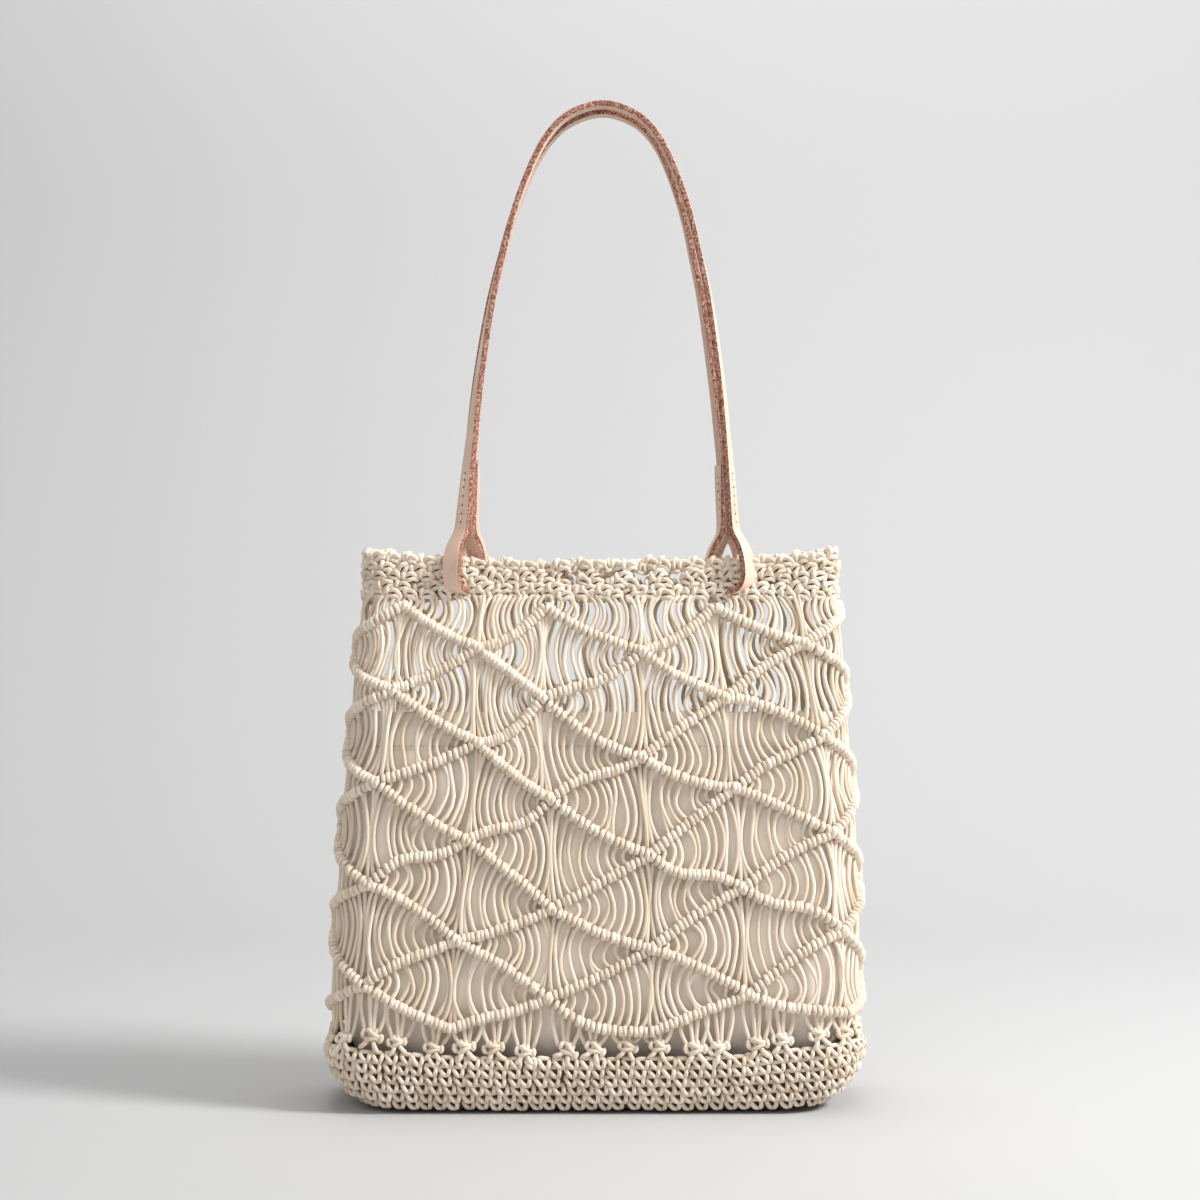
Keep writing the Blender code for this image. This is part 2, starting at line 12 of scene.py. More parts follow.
import bpy
import numpy as np
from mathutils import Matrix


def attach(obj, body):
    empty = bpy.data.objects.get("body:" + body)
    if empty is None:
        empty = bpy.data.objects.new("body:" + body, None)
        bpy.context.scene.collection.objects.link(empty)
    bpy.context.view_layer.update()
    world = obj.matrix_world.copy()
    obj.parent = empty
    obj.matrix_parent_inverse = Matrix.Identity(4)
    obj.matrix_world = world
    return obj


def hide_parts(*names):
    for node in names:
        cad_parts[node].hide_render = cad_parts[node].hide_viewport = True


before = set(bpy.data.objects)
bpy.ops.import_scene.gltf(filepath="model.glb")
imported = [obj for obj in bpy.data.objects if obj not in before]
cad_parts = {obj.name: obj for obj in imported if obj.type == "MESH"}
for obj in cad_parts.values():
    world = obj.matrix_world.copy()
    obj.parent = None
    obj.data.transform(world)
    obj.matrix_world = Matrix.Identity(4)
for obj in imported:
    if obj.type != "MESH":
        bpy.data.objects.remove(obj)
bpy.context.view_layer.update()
bpy.ops.object.select_all(action="DESELECT")
scene = bpy.context.scene
dice = np.random.default_rng(7)

# %% [markdown]
# ## Camera
# The picture was taken level, from a little under the rim, with the bag's front square to the
# lens. The view is 780 mm wide at the bag's front.

# %% Camera
CAMERA_AWAY = 1.65
VIEW_WIDTH = 0.780
FRONT_Y = -0.045
bpy.ops.object.camera_add(location=(0.0033, -CAMERA_AWAY, 0.333), rotation=(math.pi / 2, 0, 0))
camera = bpy.context.object
camera.data.sensor_width = 36.0
camera.data.lens = 36.0 * (CAMERA_AWAY + FRONT_Y) / VIEW_WIDTH
scene.camera = camera
print(f"lens {camera.data.lens:.1f} mm")

# %% [markdown]
# ## Sizes and the bag's surface
# One function gives any point of the bag's skin from how far round it is, counted in columns
# of ridge crossings from the middle of the left side, and how high. Everything knotted is
# laid on this surface, so nothing has to be fitted afterwards.

# %% Sizes, in metres
BASE_WIDTH, BASE_DEPTH, BASE_HEIGHT = 0.355, 0.116, 0.0367
BASE_CORNER, BASE_TURN, BASE_FLOOR = 0.041, 0.014, 0.006
RISE_LEFT, RISE_RIGHT = 0.006, 0.010
RIM_WIDTH, RIM_DEPTH, RIM_TOP, RIM_HEIGHT = 0.3135, 0.058, 0.3645, 0.0303
RIM_SAG, RIM_WALL, RIM_LEAN = 0.0085, 0.0065, 0.0035
KNOT_ROW_HEIGHT, GAP = 0.010, 0.0003
CORD = 0.003
COLUMNS, CORNER_SHARE = 14, 0.6
RIM_BOTTOM = RIM_TOP - RIM_HEIGHT
NET_TOP = RIM_BOTTOM - GAP
# Share of RIM_TOP, then how far width, depth and lean have gone from the rim's to the base's.
BODY = np.array((
    (0.000, 1.00, 1.00, 1.00), (0.105, 1.00, 1.00, 1.00), (0.130, 0.84, 0.98, 0.97),
    (0.150, 0.81, 0.97, 0.94), (0.200, 0.80, 0.93, 0.85), (0.300, 0.73, 0.87, 0.65),
    (0.370, 0.73, 0.80, 0.50), (0.470, 0.62, 0.71, 0.40), (0.550, 0.54, 0.62, 0.35),
    (0.640, 0.38, 0.51, 0.25), (0.720, 0.28, 0.40, 0.20), (0.800, 0.18, 0.27, 0.20),
    (0.880, 0.07, 0.13, 0.10), (0.920, 0.00, 0.05, 0.00), (1.000, 0.00, 0.00, 0.00),
))
ROUNDING = np.array(((0, 1), (0.09, 0.66), (0.24, 0.38), (0.50, 0.14), (0.78, 0.03), (1, 0.0)))


# %% The bag's skin
def body(z):
    """Half width, half depth and centre of the skin at a height."""
    h = np.asarray(z) / RIM_TOP
    width, depth, lean = (np.interp(h, BODY[:, 0], BODY[:, k]) for k in (1, 2, 3))
    half_w = (RIM_WIDTH + (BASE_WIDTH - RIM_WIDTH) * width) / 2
    half_d = (RIM_DEPTH + (BASE_DEPTH - RIM_DEPTH) * depth) / 2
    return half_w, half_d, RIM_LEAN * (1 - lean)


def plan(half_w, half_d, centre, u, out=0.0):
    """A point on a rounded rectangle, u columns round from the middle of its left side."""
    half_w, half_d, centre, u, out = np.broadcast_arrays(half_w, half_d, centre, u, out)
    r = CORNER_SHARE * half_d
    side, arc, front = half_d - r, math.pi * r / 2, 2 * (half_w - r)
    half = 2 * side + 2 * arc + front
    walk = (u / COLUMNS % 1.0) * 2 * half
    sign = np.where(walk > half, -1.0, 1.0)
    walk = np.where(walk > half, walk - half, walk)
    first = math.pi + np.clip((walk - side) / r, 0, math.pi / 2)
    second = 1.5 * math.pi + np.clip((walk - side - arc - front) / r, 0, math.pi / 2)
    before = walk < side + arc + front / 2
    nx = np.where(before, np.cos(first), np.cos(second))
    ny = np.where(before, np.sin(first), np.sin(second))
    along = np.clip(walk - side - arc, 0, front)
    x = -half_w + r + along + r * nx
    y = -half_d + r + r * ny
    y = np.where(walk < side, -walk, y)
    y = np.where(walk > half - side, -(half - walk), y)
    return np.stack([sign * x + centre + out * sign * nx, sign * y + out * sign * ny], -1)


def skin(u, z, out=0.0):
    u, z, out = np.broadcast_arrays(np.asarray(u, float), z, out)
    return np.concatenate([plan(*body(z), u, out), z[..., None]], -1)


def unit(v):
    return v / np.maximum(np.linalg.norm(v, axis=-1, keepdims=True), 1e-12)


def facing(u, z):
    """The skin's outward direction."""
    u, z = np.broadcast_arrays(np.asarray(u, float), z)
    right = skin(u + 0.01, z) - skin(u - 0.01, z)
    rise = skin(u, z + 0.002) - skin(u, z - 0.002)
    return unit(np.cross(right, rise))


def ease(t):
    t = np.clip(t, 0, 1)
    return t * t * (3 - 2 * t)


def base_edge(u):
    half_w, half_d, centre = body(BASE_HEIGHT)
    x = plan(half_w, half_d, centre, u)[..., 0] / half_w
    return BASE_HEIGHT + RISE_LEFT * ease((-x - 0.35) / 0.65) + RISE_RIGHT * ease((x - 0.35) / 0.65)


def rim_top(u):
    half_w, half_d, centre = body(RIM_TOP)
    x = (plan(half_w, half_d, centre, u)[..., 0] - centre) / half_w
    return RIM_TOP - RIM_SAG * np.maximum(0, 1 - x * x)


print("half width and depth at 200 mm:", [round(float(v), 4) for v in body(0.2)[:2]])

# %% [markdown]
# ## Turning paths into cord
# A cord is a tube swept along a path. Its section is turned so that one side always faces out
# of the bag, which keeps it from twisting. Each tube carries a UV map that runs round it and,
# in millimetres, along it, so the braid of the material follows the cord. Knots are drawn once
# as a few short paths, and copies of that small mesh are laid side by side on the skin.


# %% Tubes and copies
def smooth(points, steps):
    """A curve through a few points."""
    p = np.asarray(points, float)
    p = np.vstack([2 * p[0] - p[1], p, 2 * p[-1] - p[-2]])
    t = np.linspace(0, len(p) - 3, steps)
    i = np.minimum(t.astype(int), len(p) - 4)
    f = (t - i)[:, None]
    a, b, c, d = p[i], p[i + 1], p[i + 2], p[i + 3]
    return b + 0.5 * f * (c - a + f * (2 * a - 5 * b + 4 * c - d + f * (3 * (b - c) + d - a)))


def tubes(paths, outs, radius, sides=6, wide=1.0, taper=True):
    """Closed tubes along paths of shape (tubes, points, 3). Returns one rough mesh."""
    paths = np.asarray(paths, float)
    outs = np.broadcast_to(outs, paths.shape)
    n, m, _ = paths.shape
    along = unit(np.gradient(paths, axis=1))
    across = unit(np.cross(along, outs))
    up = np.cross(across, along)
    size = np.broadcast_to(np.asarray(radius, float), (n, m)).copy()
    if taper:
        size[:, 0] *= 0.6
        size[:, -1] *= 0.6
    turn = np.arange(sides) * 2 * math.pi / sides
    ring = np.cos(turn)[:, None] * up[:, :, None] + wide * np.sin(turn)[:, None] * across[:, :, None]
    co = paths[:, :, None] + size[:, :, None, None] * ring
    index = np.arange(n * m * sides).reshape(n, m, sides)
    a, c = index[:, :-1], index[:, 1:]
    quads = np.stack([a, np.roll(a, -1, 2), np.roll(c, -1, 2), c], -1).reshape(-1, 4)
    caps = np.concatenate([index[:, 0, ::-1], index[:, -1]])
    run = np.cumsum(np.linalg.norm(np.diff(paths, axis=1, prepend=paths[:, :1]), axis=2), 1)
    run = 1000 * run[:, :, None]
    k = np.arange(sides) / sides
    k0, k1, v0, v1 = np.broadcast_arrays(k, k + 1 / sides, run[:, :-1], run[:, 1:])
    uv = np.stack([k0, v0, k1, v0, k1, v1, k0, v1], -1).reshape(-1, 2)
    loops = np.concatenate([quads.ravel(), caps.ravel()])
    totals = np.concatenate([np.full(len(quads), 4), np.full(len(caps), sides)])
    uv = np.concatenate([uv, np.zeros((caps.size, 2))])
    return co.reshape(-1, 3), loops, totals, uv, np.repeat(np.arange(n), m * sides)


def copies(rough, places):
    """Copies of a rough mesh at places: origin, right, up and out, each (copies, 3)."""
    co, loops, totals, uv, kind = rough
    origin, right, up, out = places
    n = len(origin)
    laid = (origin[:, None] + co[None, :, :1] * right[:, None] + co[None, :, 1:2] * up[:, None]
            + co[None, :, 2:] * out[:, None])
    shift = (np.arange(n) * len(co))[:, None]
    return (laid.reshape(-1, 3), (loops[None] + shift).ravel(), np.tile(totals, n),
            np.tile(uv, (n, 1)), np.repeat(np.arange(n), len(co)))


def values(items, name, width=1, kind=float):
    """One value of each item of a mesh, as an array."""
    got = np.empty(len(items) * width, kind)
    items.foreach_get(name, got)
    return got.reshape(-1, width) if width > 1 else got


def primitive(axes=(0, 1, 2)):
    """The primitive just added becomes a rough mesh, and its object goes."""
    obj = bpy.context.object
    mesh = obj.data
    co = values(mesh.vertices, "co", 3)[:, axes]
    loops = values(mesh.loops, "vertex_index", kind=int)
    totals = values(mesh.polygons, "loop_total", kind=int)
    # a torus has its UV along the ring and round the cord: here it's round and 12 mm along
    uv = values(mesh.uv_layers[0].data, "uv", 2)[:, ::-1] * (1.0, 12.0)
    bpy.data.objects.remove(obj, do_unlink=True)
    return co, loops, totals, uv, np.zeros(len(co), int)


def gathered(places):
    """Sets of places, joined into one."""
    return [np.concatenate(part) for part in zip(*places)]


def make(name, rough, material, seed=1):
    """A rough mesh becomes an object that rides on the bag. Each cord has a tone of its own."""
    co, loops, totals, uv, kind = rough
    mesh = bpy.data.meshes.new(name)
    mesh.vertices.add(len(co))
    mesh.vertices.foreach_set("co", np.ascontiguousarray(co, np.float32).ravel())
    mesh.loops.add(len(loops))
    mesh.loops.foreach_set("vertex_index", loops.astype(np.int32))
    mesh.polygons.add(len(totals))
    starts = np.concatenate([[0], np.cumsum(totals)[:-1]]).astype(np.int32)
    mesh.polygons.foreach_set("loop_start", starts)
    mesh.update(calc_edges=True)
    mesh.uv_layers.new(name="UVMap").data.foreach_set("uv", uv.astype(np.float32).ravel())
    tone = np.random.default_rng(seed).random(int(kind.max()) + 1)[kind]
    mesh.attributes.new("tone", "FLOAT", "POINT").data.foreach_set("value", tone.astype(np.float32))
    mesh.shade_smooth()
    mesh.materials.append(material)
    obj = bpy.data.objects.new(name, mesh)
    scene.collection.objects.link(obj)
    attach(obj, "root")
    print(f"{name}: {int((totals - 2).sum())} triangles")
    return obj


def turned(origin, right, up, normal, turn, size):
    """Places for copies, turned about their normals and sized."""
    c, s, k = np.cos(turn)[:, None], np.sin(turn)[:, None], size[:, None]
    return origin, (right * c + up * s) * k, (up * c - right * s) * k, normal * k


def on_skin(u, z, out=0.0, turn=0.0, size=1.0):
    """Places on the skin for copies: up is turned in the skin by turn."""
    u, z, out, turn, size = (np.asarray(v, float).ravel() for v in np.broadcast_arrays(
        u, z, out, turn, size))
    origin, normal = skin(u, z, out), facing(u, z)
    right = unit(skin(u + 0.01, z) - skin(u - 0.01, z))
    return turned(origin, right, unit(np.cross(normal, right)), normal, turn, size)


# %% [markdown]
# ## Materials
# The cord is undyed braided cotton: matt, a warm off-white, with a fine braid that shows only as a
# soft grain. Its hollows are dirt-free but dark, because little light reaches them; a dark brown copy
# of the cotton paints that shade where the hollows are.
# The pouch is unbleached cotton canvas in a twill weave. The handles are vegetable-tanned
# leather with a smooth pale grain, a pinkish fibrous cut edge and a rough flesh side.


# %% Material helpers
def colour(hexcode):
    """An sRGB hex colour in the linear values that Blender works in."""
    levels = [int(hexcode[i:i + 2], 16) / 255 for i in (1, 3, 5)]
    return (*[v / 12.92 if v <= 0.04045 else ((v + 0.055) / 1.055) ** 2.4 for v in levels], 1.0)


def node(material, kind, links=(), **settings):
    """Adds a node. Settings named in_NAME set a socket, the others set the node itself."""
    tree = material.node_tree
    made = tree.nodes.new(kind)
    for key, value in settings.items():
        if key.startswith("in_"):
            made.inputs[key[3:]].default_value = value
        else:
            setattr(made, key, value)
    for source, target in links:
        tree.links.new(source, made.inputs[target])
    return made


def new_material(name, roughness, sheen=0.0):
    material = bpy.data.materials.new(name)
    material.use_nodes = True
    shader = material.node_tree.nodes["Principled BSDF"]
    shader.inputs["Roughness"].default_value = roughness
    shader.inputs["Specular IOR Level"].default_value = 0.25
    shader.inputs["Sheen Weight"].default_value = sheen
    shader.inputs["Sheen Roughness"].default_value = 0.5
    return material, shader


def plain_material(name, hexcode, roughness):
    material, shader = new_material(name, roughness)
    shader.inputs["Base Color"].default_value = colour(hexcode)
    return material


def maths(material, operation, *terms):
    """A Math node's output. Each term is a socket or a number."""
    made = node(material, "ShaderNodeMath", operation=operation)
    for socket, term in zip(made.inputs, terms):
        if isinstance(term, float):
            socket.default_value = term
        else:
            material.node_tree.links.new(term, socket)
    return made.outputs[0]


def noise(material, place, scale, detail, roughness=0.5):
    return node(material, "ShaderNodeTexNoise", [(place.outputs["Object"], "Vector")],
                in_Scale=scale, in_Detail=detail, in_Roughness=roughness).outputs["Fac"]


def finish_shader(material, shader, base, height, strength, distance):
    """Links a base colour and a bump to the shader."""
    bump = node(material, "ShaderNodeBump", [(height, "Height")], in_Strength=strength,
                in_Distance=distance)
    material.node_tree.links.new(base, shader.inputs["Base Color"])
    material.node_tree.links.new(bump.outputs["Normal"], shader.inputs["Normal"])


def ramp(material, source, stops):
    made = node(material, "ShaderNodeValToRGB", [(source, "Fac")])
    elements = made.color_ramp.elements
    for position, hexcode in stops:
        elements.new(position).color = colour(hexcode)
    for end in (0, -1):  # the black and white that a new ramp has at its ends
        elements.remove(elements[end])
    return made.outputs["Color"]


# %% Braided cotton
def braided_cotton(name, dark, middle, light):
    """Two sets of yarns cross every 1.4 mm along the cord and eight times round it."""
    material, shader = new_material(name, 0.92, 0.15)
    place = node(material, "ShaderNodeTexCoord")
    tone = node(material, "ShaderNodeAttribute", attribute_name="tone").outputs["Fac"]
    mixed = maths(material, "ADD", tone, noise(material, place, 60.0, 3.0))
    half = maths(material, "MULTIPLY", mixed, 0.5)
    base = ramp(material, half, ((0.2, dark), (0.5, middle), (0.8, light)))
    split = node(material, "ShaderNodeSeparateXYZ", [(place.outputs["UV"], "Vector")])
    waves = []
    for sign in (1, -1):
        around = maths(material, "MULTIPLY", split.outputs["X"], sign * 4 * 2 * math.pi)
        along = maths(material, "MULTIPLY_ADD", split.outputs["Y"], 2 * math.pi / 1.4, around)
        waves.append(maths(material, "SINE", along))
    braid = maths(material, "MAXIMUM", *waves)
    height = maths(material, "MULTIPLY_ADD", noise(material, place, 1500.0, 2.0), 1.2, braid)
    finish_shader(material, shader, base, height, 0.35, 0.0003)
    return material


cotton = braided_cotton("braided_cotton_cord", "#DDCBB4", "#EDDDC9", "#F8EBDA")
# A dark brown copy of the cord: painted shade for the hollows behind stitches and knots.
cotton_painted_shade = braided_cotton("braided_cotton_painted_shade", "#6E5A42", "#7C684E", "#8A755A")

# %% [markdown]
# ## The lattice
# Ridges of double half hitches run down the bag to the left and to the right and cross each
# other. The table says how each crossing of the front strays from an even grid. A hand-knotted
# net is never even, and the eye notices a grid that is.

# %% Crossings
ROWS = (0.987, 0.889, 0.781, 0.669, 0.568, 0.449, 0.334, 0.229, 0.114, 0.032)
STRAY = (  # column, row, sideways in columns, upwards in rows
    (0, 3, 0.00, 0.25), (0, 5, 0.00, 0.27), (0, 7, 0.00, 0.35), (0, 9, 0.00, 0.20),
    (1, 2, 0.02, 0.12), (1, 4, -0.03, 0.17), (1, 6, 0.02, 0.19), (1, 8, 0.05, 0.15),
    (2, 3, 0.10, 0.05), (2, 5, 0.05, 0.05),
    (3, 0, -0.19, -0.05), (3, 2, -0.18, -0.04), (3, 4, -0.04, -0.21), (3, 6, 0.01, -0.34),
    (3, 8, 0.00, -0.13),
    (4, 1, 0.03, -0.07), (4, 3, 0.00, -0.29), (4, 5, 0.07, -0.28), (4, 7, 0.08, -0.18),
    (4, 9, 0.12, -0.05),
    (5, 0, -0.05, -0.05), (5, 2, 0.00, -0.08), (5, 4, 0.06, 0.04), (5, 6, 0.07, 0.12),
    (5, 8, 0.12, -0.06),
    (6, 1, 0.04, 0.10), (6, 3, 0.12, 0.20), (6, 5, 0.11, 0.20), (6, 7, 0.15, 0.18),
    (6, 9, 0.20, 0.30),
    (7, 2, 0.00, 0.19), (7, 4, 0.00, 0.21), (7, 6, 0.00, 0.31), (7, 8, 0.00, 0.25),
)
LAST = len(ROWS) - 1
NET_LOW = BASE_HEIGHT + KNOT_ROW_HEIGHT + 2 * GAP
stray = {}
for column, row, sideways, up in STRAY:
    stray[column, row] = (sideways, up)
    stray[(COLUMNS - column) % COLUMNS, row] = (-sideways, up)
cross = {}
for column in range(COLUMNS):
    for row in range(LAST + 1):
        if (column + row) % 2:
            sideways, up = stray.get((column, row), (0.0, 0.0))
            z = NET_LOW + ROWS[row] * (NET_TOP - NET_LOW) + up * (NET_TOP - NET_LOW) / len(ROWS)
            cross[column, row] = (column + sideways, z)
print(len(cross), "crossings")


# %% Ridge lines
# How a ridge leaves the straight line between its crossings, in millimetres: column and row of
# its left end, the step in rows to its right end (1 falls, -1 climbs), its rise at the middle, and
# its rise at the first quarter, which is its fall at the third. Those not listed hang 2.5 mm.
BENDS = (
    (2, 1, -1, -6, 0), (3, 0, 1, -3.5, 0), (1, 2, -1, -3, 0),
    (2, 1, 1, 0, 0), (3, 2, -1, -6, 1.5), (2, 3, -1, -8.5, 0),
    (3, 2, 1, -6, 0), (1, 4, -1, -2, 0), (3, 4, -1, 2, 2),
    (2, 5, -1, -5, 3), (3, 4, 1, -4, 0), (0, 5, 1, 0, 0),
    (1, 6, -1, 3.5, 4), (2, 5, 1, 1.5, 0), (3, 6, -1, -0.5, 0),
    (1, 6, 1, 4, 0), (3, 6, 1, -3, 0), (0, 7, 1, 0.5, 0),
    (1, 8, -1, 3, 1), (2, 7, 1, 2, 0), (3, 8, -1, -2, 0),
    (2, 9, -1, -1, 1), (3, 8, 1, -9, -1), (4, 9, -1, 0.5, 0),
    (4, 1, -1, -5, 0), (4, 1, 1, -2.5, -1), (5, 2, -1, 3, 0),
    (4, 3, -1, 1.5, 0), (5, 2, 1, 5, 0.5), (4, 3, 1, -5, 0),
    (5, 4, -1, 2.5, 1), (4, 5, -1, 1.5, 0), (5, 4, 1, 1, 0),
    (4, 5, 1, -2, -3.5), (5, 6, -1, 4, 0), (4, 7, -1, 2.5, 0),
    (5, 6, 1, 2.5, -3.3), (4, 7, 1, 2.5, 0), (5, 8, -1, 5, -0.5),
    (5, 8, 1, -2.5, -1), (6, 1, -1, 2, 0), (6, 3, -1, 2, 0),
    (6, 5, -1, 2, 0), (6, 7, -1, 2, 0), (0, 3, -1, 0, 0),
    (0, 5, -1, 0, 0), (0, 7, -1, 0, 0), (6, 1, 1, -1, 0),
)
bend = {}
for column, row, step, bow, wave in BENDS:
    bend[column, row, step] = (bow / 1000, wave / 1000)
    bend[COLUMNS - 1 - column, row + step, -step] = (bow / 1000, -wave / 1000)


def crossing(column, row):
    u, z = cross[column % COLUMNS, row]
    return u + (column - column % COLUMNS), z


def ridge(column, row, step, t):
    """Place on a ridge at share t of the way from its left end to its right end."""
    u0, z0 = crossing(column, row)
    u1, z1 = crossing(column + 1, row + step)
    bow, wave = bend.get((column % COLUMNS, row, step), (-0.0025, 0.0))
    curl = bow * 4 * t * (1 - t) + wave * np.sin(2 * math.pi * t)
    return u0 + t * (u1 - u0), z0 + t * (z1 - z0) + curl


ridges = [(column, row, step) for column, row in cross for step in (1, -1)
          if 0 <= row + step <= LAST]
print(len(ridges), "ridges between crossings")

# %% [markdown]
# ## Hitches
# Each strand is hitched twice round the cord that runs along the ridge, so a ridge looks like
# a row of short bars, pressed close together. One turn of cord is a small torus, a bit flattened.
# It is copied about 20 times along every ridge, each copy with its own small lean and size.

# %% One turn of a hitch
TURN_RADIUS, TURN_CORD = 0.00225, 0.00158
bpy.ops.mesh.primitive_torus_add(major_segments=10, minor_segments=6, major_radius=TURN_RADIUS,
                                 minor_radius=TURN_CORD)
one_turn = primitive(axes=(2, 0, 1))

# %% Hitched ridges
TURNS = 20
HITCH_LIFT = 0.0012  # and as much again for the falling ridge at a crossing, which lies on top
sets = {"front": [], "back": []}
cores = []
for column, row, step in ridges:
    t = (np.arange(TURNS) + 0.5) / TURNS + dice.normal(0, 0.06 / TURNS, TURNS)
    u, z = ridge(column, row, step, t)
    lift = HITCH_LIFT * (1 + (step > 0) * np.exp(-(np.minimum(t, 1 - t) / 0.05) ** 2))
    u2, z2 = ridge(column, row, step, t + 0.01)
    normal = facing(u, z)
    along = unit(skin(u2, z2) - skin(u, z))
    up = np.cross(normal, along)
    lean = unit(along - 0.45 * along[:, 2:] * np.array((0, 0, 1.0)))
    lean = unit(lean + dice.normal(0, 0.07, (TURNS, 1)) * up)
    lean = unit(lean - (lean * normal).sum(1, keepdims=True) * normal)
    size = dice.normal(1.0, 0.035, (TURNS, 1))
    origin = skin(u, z, lift) + dice.normal(0, 0.00018, (TURNS, 3))
    place = (origin, lean * 1.08, np.cross(normal, lean) * size, normal * size)
    side = "front" if 0.5 <= (column + 0.5) % COLUMNS < COLUMNS / 2 else "back"
    sets[side].append(place)
    t = np.linspace(0, 1, 9)
    u, z = ridge(column, row, step, t)
    cores.append((skin(u, z, 0.0005), facing(u, z)))
for side, places in sets.items():
    make(f"hitches_{side}", copies(one_turn, gathered(places)), cotton, seed=2)
lines, outs = (np.array(part) for part in zip(*cores))
make("ridge_cords", tubes(lines, outs, 0.0013, 5), cotton)

# %% [markdown]
# ## Loose strands
# Between two ridges the strands hang free. In the photograph they lean towards the middle of
# their cell, where they nearly touch, and spread again at the ridges. Each strand is a tube on
# a path with such a bow, a slightly different one for each.

# %% Strands between ridges
PER_HALF = 12  # strands in half a cell
BOW = 0.0062  # the furthest that one leans
PITCH = 0.058  # a column's width at the middle of the bag


def strand_paths(low, high, middle, points=8):
    """Paths from low to high, each (u, z) arrays, leaning towards the column middle."""
    (u0, z0), (u1, z1) = low, high
    n = len(u0)
    s = np.linspace(0, 1, points)[None]
    length = (z1 - z0)[:, None]
    reach = (middle - (u0 + u1) / 2)[:, None]
    lean = np.minimum(np.minimum(0.24 * length, BOW), 0.80 * np.abs(reach) * PITCH)
    lean = lean * (1 + dice.normal(0, 0.21, (n, 1))) * np.sign(reach) / PITCH
    bulge = np.sin(math.pi * s ** (1 + dice.normal(0, 0.06, (n, 1)))) ** 0.85
    sway = dice.normal(0, 0.0006, (n, 1)) / PITCH * np.sin(2 * math.pi * s)
    u = u0[:, None] + s * (u1 - u0)[:, None] + lean * bulge + sway
    z = z0[:, None] + s * length
    close = np.exp(-(reach / 0.16) ** 2)
    deep = dice.uniform(-1, 1, (n, 1)) * (0.0006 + 0.0011 * close) * bulge
    out = -0.0006 - 0.0004 * bulge + deep
    return skin(u, z, out), facing(u, z)


paths = {"front": [], "back": []}
for column in range(COLUMNS):
    for row in range(LAST):
        if (column + row) % 2:
            continue
        t = (np.arange(PER_HALF) + 0.5) / PER_HALF
        for side in (-1, 1):  # the cell's left half, then its right half
            left = side < 0
            share = np.clip(t + dice.normal(0, 0.012, PER_HALF), 0.02, 0.99)
            start, along = (column - 1, share) if left else (column, 1 - share)
            low = ridge(start, row if left else row + 1, -side, along)
            if row:
                high = ridge(start, row if left else row - 1, side, along)
            else:
                u_top = crossing(column + side, 0)[0] * (1 - share) + column * share
                high = (u_top, np.full(PER_HALF, RIM_BOTTOM + 0.002))
            middle = crossing(column, row - 1 if row else 1)[0]
            got = strand_paths(low, high, middle)
            in_front = 0 <= (column + side / 2) % COLUMNS < COLUMNS / 2
            paths["front" if in_front else "back"].append(got)
for side, found in paths.items():
    lines, outs = gathered(found)
    make(f"strands_{side}", tubes(lines, outs, CORD / 2 * 0.97, 6, taper=False), cotton, seed=3)

# %% [markdown]
# ## Square knots over the base
# Under the last ridges the strands are gathered in fours, and each four is tied in a square
# knot: a bar across the front, a loop at each side and two legs that go down into the crochet.

# %% The knots that join the net to the base
JOIN_KNOTS = 42


def drawn(paths_mm, radius_mm=1.5, sides=7, steps=7, wide=1.0):
    """A small knot from paths in millimetres: right, up and out."""
    lines = [smooth(np.array(p) / 1000, steps) for p in paths_mm]
    return tubes(lines, (0, 0, 1.0), radius_mm / 1000, sides, wide)


square_knot = drawn((
    ((-4.4, 6.0, -0.6), (-2.4, 6.4, 1.4), (0.0, 5.5, 2.4), (2.6, 4.4, 1.6), (4.5, 4.6, -0.6)),
    ((-4.6, 1.6, -0.8), (-2.2, 1.4, 1.2), (0.2, 2.5, 2.2), (2.4, 3.3, 1.4), (4.6, 2.2, -0.8)),
    ((-4.9, 6.4, -0.4), (-5.6, 4.0, 0.9), (-4.6, 1.6, 0.2)),
    ((4.8, 6.0, -0.4), (5.6, 3.6, 0.9), (4.6, 1.0, 0.2)),
    ((-1.2, 1.8, 0.2), (-3.0, -1.4, 1.6), (-5.6, -4.4, 0.4)),
    ((1.2, 1.8, 0.2), (3.0, -1.4, 1.6), (5.4, -4.4, 0.4)),
    ((-1.3, 8.5, -0.6), (-1.3, 4.0, 0.2), (-0.8, 0.5, 0.0)),
    ((1.3, 8.5, -0.6), (1.3, 4.0, 0.2), (0.8, 0.5, 0.0)),
))
knot_u = (np.arange(JOIN_KNOTS) + 0.5) / JOIN_KNOTS * COLUMNS + dice.normal(0, 0.022, JOIN_KNOTS)
knot_z = base_edge(knot_u) + 0.0027 + dice.normal(0, 0.0009, JOIN_KNOTS)
knot_turn, knot_size = dice.normal(0, 0.20, JOIN_KNOTS), 1.08 + dice.normal(0, 0.05, JOIN_KNOTS)
knots = make("joining_knots", copies(square_knot, on_skin(
    knot_u, knot_z, -0.0010, knot_turn, knot_size)), cotton, seed=4)
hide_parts("knot_row")


# %% Strands down to those knots
def lowest_ridge(u):
    """Height of the lowest ridge above a place round the bag."""
    best = 9.0
    for column, row, step in ridges:
        if min(row, row + step) >= LAST - 1:
            u0, u1 = crossing(column, row)[0], crossing(column + 1, row + step)[0]
            for lap in (0, -COLUMNS, COLUMNS):
                if u0 <= u + lap < u1:
                    best = min(best, ridge(column, row, step, (u + lap - u0) / (u1 - u0))[1])
    return best


